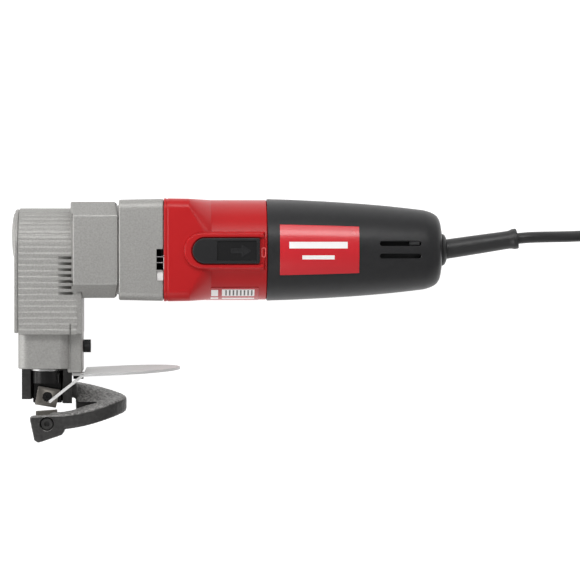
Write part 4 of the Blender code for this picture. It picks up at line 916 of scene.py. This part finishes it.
def build_yoke():
    arm = join(lofted(arm_sections()), soften(drawn(BLOCK_OUTLINE, 6.3, 19.0, along="Z"), 1.2, 3, 50))
    arm = roughened(melted(arm, 0.75, 3), 0.16, 700.0)
    top, bottom = -50.0, -101.0
    wall = ((TUBE_BORE, bottom), (TUBE_RADIUS, bottom), (TUBE_RADIUS, top), (TUBE_BORE, top))
    tube = turned(wall, PLUNGER_AXIS, "Y")
    back = soften(block((PLUNGER_X - 14.0, -100.0, -16.9), (PLUNGER_X + 12.0, -79.6, -6.0)), 1.5, 3)
    tube = cut(
        join(tube, back),
        rod(TUBE_BORE, -120, -60, PLUNGER_AXIS, "Y", 96),
        block((-90, -120, 1.5), (-30, -78.0, 40)),
        block((PLUNGER_X - 9.9, -120, -14.4), (PLUNGER_X + 9.9, -82.5, 40)),
        block((-90, -120, -40), (PLUNGER_X, -98.2, 40)),
    )
    screw_hole = ((0, 0), (2.4, 0), (2.4, 13.5), (4.4, 13.5), (4.4, 18.2), (5.0, 19.4), (5.0, 30), (0, 30))
    yoke = cut(join(arm, soften(tube, 0.6, 3, 40)), turned(screw_hole, (*LOWER_SCREW, 0), "Z", 48),
               block((-90, -140, 0), (-30, -100, 6.15)))
    piece("yoke_forging", yoke, CASTING, ["yoke"])


def build_plunger():
    bottom, top, ease = -88.5, -6.0, 0.6
    barrel = turned(((0, bottom), (PLUNGER_RADIUS - ease, bottom), (PLUNGER_RADIUS, bottom + ease),
                     (PLUNGER_RADIUS, top - ease), (PLUNGER_RADIUS - ease, top), (0, top)),
                    PLUNGER_AXIS, "Y")
    crosshead = soften(block((PLUNGER_X - 5, -8.0, -11.0), (PLUNGER_X + 5, 19.4, 11.0)), 2.0, 4, 60)
    holder = soften(block((-72.4, -100.9, -14.0), (-53.4, -86.0, -6.3)), 0.8, 3)
    pin_y = CRANK_Y + 2.3
    plunger = cut(
        join(barrel, crosshead, holder),
        block((-90, pin_y - 5.8, -8.4), (-40, pin_y + 5.8, 8.4)),
        block((-80, -95, -6.2), (-45, -87.5, 20)),
        rod(2.4, -30, 10, (*UPPER_SCREW, 0), "Z", 32),
    )
    piece("plunger_bar", plunger, PLUNGER_STEEL, ["plunger"], "plunger")


def build_bush():
    bore = PLUNGER_RADIUS + GAP
    bush = turned(((bore, -79.0), (bore + 0.4, -79.4), (BUSH_RADIUS - 0.2, -79.4), (BUSH_RADIUS, -79.2),
                   (BUSH_RADIUS, -40.7), (BUSH_RADIUS - 0.2, -40.5), (bore, -40.5)), PLUNGER_AXIS, "Y")
    piece("plunger_bush", bush, BRIGHT_STEEL, ["guide_bush"])


def build_deflector():
    """A tongue with a half-elliptic end, its tab under the neck, and the finger that runs down from it."""
    start_x, straight_end, end_x, half, steps = -38.0, -14.0, 24.6, 31.0, 40
    top_y, thickness, slope, lean = -79.4, 1.8, math.radians(2.5), math.radians(2.0)
    turns = [math.pi / 2 * i / steps for i in range(steps)]
    rim = [(straight_end + (end_x - straight_end) * math.sin(a), half * math.cos(a)) for a in turns]
    outline = [(start_x, half), *rim, (end_x, 0), *[(x, -z) for x, z in reversed(rim)], (start_x, -half)]
    top = [(x, top_y + (x - start_x) * math.tan(slope) - z * math.tan(lean), z) for x, z in outline]
    sections = [[(x, y - thickness, z) for x, y, z in top], top]
    tab = block((-46.0, -82.4, -12), (start_x + 1.2, -80.6, 12))
    plate = join(soften(lofted(sections), 0.3, 2, 60), soften(tab, 0.3, 2))
    plate = cut(plate, rod(2.3, -FAR, -70, DEFLECTOR_SCREW, "Y", 32))
    piece("deflector_plate", plate, DEFLECTOR_STEEL, ["deflector"])
    strip = ((-37.2, -79.6), (-36.2, -81.2), (-60.4, -100.4), (-61.4, -98.8))
    # The finger is part of the deflector sheet; its lighter steel is a painted highlight.
    piece("deflector_finger", soften(drawn(strip, 2.6, 12.0, along="Z"), 0.3, 2), FINGER_HIGHLIGHT_STEEL, [])


# ---- the lead ----

def coil_route(steps=24):
    """The turns of the coil: out to in along the bench, then in to out on top of them."""
    x, y = COIL_CENTRE
    spread = COIL_OUTER_TURN - COIL_INNER_TURN
    total = BOTTOM_TURNS + TOP_TURNS
    points = []
    for i in range(1, round(total * steps) + 1):
        turn = i / steps
        angle = math.pi / 2 - 2 * math.pi * turn
        if turn <= BOTTOM_TURNS:
            radius = COIL_OUTER_TURN - spread * turn / BOTTOM_TURNS
        else:
            radius = COIL_INNER_TURN + spread * (turn - BOTTOM_TURNS) / TOP_TURNS
        climbed = eased((turn - BOTTOM_TURNS) / LAYER_CHANGE + 0.5)
        height = BOTTOM_LAYER + (TOP_LAYER - BOTTOM_LAYER) * climbed
        height += (TAIL_ROUTE[0][2] - TOP_LAYER) * eased((turn - total + TAIL_RISE) / TAIL_RISE)
        off_tie = (angle - TIE_ANGLE + math.pi) % (2 * math.pi) - math.pi
        height += TIE_LIFT * math.exp(-(off_tie / TIE_SPREAD) ** 2)
        across, up = polar(radius, angle)
        points.append((x + across, y + up, height))
    return points


def build_lead():
    curve = bpy.data.curves.new("power_lead", "CURVE")
    curve.dimensions = "3D"
    curve.bevel_depth = CORD_RADIUS * MM
    curve.bevel_resolution = 6
    curve.use_fill_caps = True
    points = smooth_through([*LEAD_ROUTE, *coil_route(), *TAIL_ROUTE[1:]], 4.0)
    spline = curve.splines.new("POLY")
    spline.points.add(len(points) - 1)
    for point, place in zip(spline.points, points):
        point.co = (*(place * MM), 1)
    spline.use_smooth = True
    curve.materials.append(RUBBER)
    lead = bpy.data.objects.new("power_lead", curve)
    scene.collection.objects.link(lead)
    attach(lead, "casing")
    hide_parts("cord_lead", "cord_coil", "cord_tail")
    return lead


def build_tie():
    middle = (COIL_OUTER_TURN + COIL_INNER_TURN) / 2
    reach = (COIL_OUTER_TURN - COIL_INNER_TURN) / 2 + CORD_RADIUS
    sections = []
    for across, less in ((-4.6, 0.15), (-4.2, 0.0), (4.2, 0.0), (4.6, 0.15)):
        outline = rounded_rectangle(reach + 1.9 - less, 8.25 - less, 4.5)
        sections.append([(u, across, v) for u, v in outline])
    inner = [[(u, across, v) for u, v in rounded_rectangle(reach + 1.0, 7.5, 3.8)] for across in (-9, 9)]
    strap = cut(lofted(sections, lift=False), lofted(inner, lift=False))
    buckle = soften(block((-4.0, -5.4, 7.4), (4.5, 5.4, 9.6), lift=False), 0.8, 3)
    strap = join(strap, buckle)
    place = Vector((*COIL_CENTRE, 8.3)) + Vector((*polar(middle, TIE_ANGLE), 0))
    strap.data.transform(Matrix.Translation(place * MM) @ Matrix.Rotation(TIE_ANGLE, 4, "Z"))
    return piece("coil_strap", strap, BLACK, ["cord_tie"])


def build_plug():
    """The moulded plug: a grip that widens to a flat face, an insert in that face, and two pins."""
    grip = ((0.0, 6.4, 5.9), (0.4, 6.6, 6.1), (8.0, 7.0, 6.5), (12.0, 8.3, 7.6), (16.0, 11.0, 9.8),
            (20.0, 14.4, 11.6), (24.0, 16.6, 12.5), (30.0, 17.3, 12.75), (40.0, 17.6, 12.8),
            (41.0, 17.3, 12.5), (PLUG_LENGTH, 16.8, 12.0))
    sections = []
    for down, wide, thick in grip:
        outline = rounded_rectangle(wide, thick, 0.86 * thick, 12)
        sections.append([(PLUG.x + u, PLUG.y - down, PLUG.z + v) for u, v in outline])
    face, centre = PLUG.y - PLUG_LENGTH, (PLUG.z, PLUG.x)
    seat = rounded_rectangle(7.3, 13.8, 4.3, 8, centre)
    cutters = [drawn(seat, face - 5, face + 3.8, along="Y", lift=False)]
    for n in range(6):
        y = PLUG.y - 25.5 - RIDGE_PITCH * n
        for x in (PLUG.x + 17.9, PLUG.x - 17.9):
            cutters.append(block((x - 0.9, y - 0.5, PLUG.z - 7), (x + 0.9, y + 0.5, PLUG.z + 7), lift=False))
    body = cut(lofted(sections, lift=False), *cutters)
    insert = rounded_rectangle(7.0, 13.5, 4, 8, centre)
    insert = soften(drawn(insert, face - 1.2, face + 3.5, along="Y", lift=False), 0.4, 3, 60)
    made = [piece("mains_plug", body, BLACK, ["plug_body"], angle=45),
            piece("plug_face", insert, BLACK, ["plug_insert"])]
    for side, name in ((-1, "left"), (1, "right")):
        pin = turned(((0, 1.0), (2.4, 1.0), (2.4, -16.5), (2.2, -17.6), (1.6, -18.3), (0, -18.5)),
                     (PLUG.x + side * PIN_SPREAD, face, PLUG.z), "Y", 48, lift=False)
        made.append(piece(f"plug_pin_{name}", pin, NICKEL, []))
    return made


# ---- pieces that stay as the CAD has them ----

INSIDE = {
    LAMINATED: ("armature_core", "stator_core"),
    COPPER: ("armature_winding", "field_coil_top", "field_coil_bottom", "commutator"),
    BRASS: ("brush_holder_top", "brush_holder_bottom"),
    CARBON: ("carbon_brush_top", "carbon_brush_bottom"),
    BRONZE: ("intermediate_bush_front", "intermediate_bush_rear", "slide_block"),
    BLACK: ("fan", "switch_body"),
    MACHINED: ("armature_shaft", "crank_front_bearing", "crank_rear_bearing", "crank_gear", "crankshaft",
               "intermediate_gear", "intermediate_shaft", "motor_front_bearing", "motor_rear_bearing",
               "switch_link"),
    BLADE_STEEL: ("upper_blade", "lower_blade"),
}


def build_kept():
    for material, nodes in INSIDE.items():
        for node in nodes:
            kept(node, material, 0.25 if material == BLADE_STEEL else 0.0)


# ---- the room ----

def build_floor():
    bm = bmesh.new()
    bmesh.ops.create_grid(bm, x_segments=1, y_segments=1, size=FLOOR_SIZE)
    bmesh.ops.translate(bm, vec=(VIEW_CENTRE.x, VIEW_CENTRE.y, -0.05), verts=bm.verts)
    floor = solid(bm, lift=False)
    floor.name = "floor"
    white = Finish("white_floor", (0.3, 0.3, 0.3), 0.8).mottled(1.5, 0.01)
    white.socket("Emission Color", (1, 1, 1, 1)).socket("Emission Strength", 0.93)
    floor.data.materials.append(white.done())


def build_sky():
    """A sky that goes from one grey near the horizon to another overhead."""
    world = bpy.data.worlds.new("studio")
    world.use_nodes = True
    tree = world.node_tree
    sky = tree.nodes["Background"]
    sky.inputs["Strength"].default_value = 1.0
    where = tree.nodes.new("ShaderNodeTexCoord")
    parts = tree.nodes.new("ShaderNodeSeparateXYZ")
    tree.links.new(where.outputs["Generated"], parts.inputs["Vector"])
    fade = tree.nodes.new("ShaderNodeValToRGB")
    for stop, position, grey in zip(fade.color_ramp.elements, (0.25, 0.85), (SKY_LOW, SKY_TOP)):
        stop.position = position
        stop.color = (grey, grey, grey, 1)
    tree.links.new(parts.outputs["Z"], fade.inputs["Fac"])
    tree.links.new(fade.outputs["Color"], sky.inputs["Color"])
    scene.world = world


def build_lamps():
    for name, place, size, power in LAMPS:
        light = bpy.data.lights.new(name, "AREA")
        light.shape = "RECTANGLE"
        light.size, light.size_y = size[0] * MM, size[1] * MM
        light.energy = power
        lamp = bpy.data.objects.new(name, light)
        lamp.location = Vector(place) * MM
        lamp.visible_camera = False
        lamp.rotation_euler = (LAMP_AIM * MM - lamp.location).to_track_quat("-Z", "Y").to_euler()
        scene.collection.objects.link(lamp)
    scene.view_settings.view_transform = "Standard"


def build_camera():
    """Looks almost straight down on the tool, from a little towards its head, with +Y up the picture."""
    lens = bpy.data.cameras.new("camera")
    lens.sensor_width = SENSOR
    lens.lens = SENSOR * VIEW_DISTANCE / VIEW_WIDTH
    lens.clip_end = 50.0
    back = Vector((-math.sin(VIEW_YAW), math.sin(VIEW_PITCH), math.cos(VIEW_YAW))).normalized()
    right = Vector((0, 1, 0)).cross(back).normalized()
    up = back.cross(right)
    camera = bpy.data.objects.new("camera", lens)
    place = (VIEW_CENTRE + back * VIEW_DISTANCE) * MM
    camera.matrix_world = Matrix.Translation(place) @ Matrix((right, up, back)).transposed().to_4x4()
    scene.collection.objects.link(camera)
    scene.camera = camera


def build_screws():
    for number, (y, z) in enumerate(COVER_SCREWS, 1):
        screw(f"cover_screw_{number}", 1.5, 2.7, 1.8, 10.0, (-83.1, y, z), "X", sunk=True)
    for number, (y, z) in enumerate(CASE_SCREWS, 1):
        screw(f"case_screw_{number}", 1.6, 2.5, 3.0, 72.0, (-43.5, y, z), "X")
    screw("clamp_screw", 2.5, 4.25, 5.0, 12.0, (-34.0, CLAMP_SCREW_Y, 0), "X", -1)
    screw("upper_blade_screw", 2.0, 2.9, 3.0, 12.0, (*UPPER_SCREW, -0.3), "Z", -1)
    screw("lower_blade_screw", 2.1, 3.9, 3.6, 13.6, (*LOWER_SCREW, 17.4), "Z", -1, look=CASTING)
    screw("deflector_screw", 1.9, 3.4, 2.4, 11.0, (DEFLECTOR_SCREW[0], -85.1, DEFLECTOR_SCREW[2]), "Y")


build_camera()
build_floor()
build_sky()
build_lamps()
lead = build_lead()
strap = build_tie()
plug_pieces = build_plug()
build_relief()
build_head()
build_front()
build_screws()
build_collar()
build_gear_cover()
build_vents()
build_motor_housing()
build_off_mark()
build_knob()
build_rear_cover()
build_nameplate()
build_rating_label()
build_yoke()
build_plunger()
build_bush()
build_deflector()
build_kept()
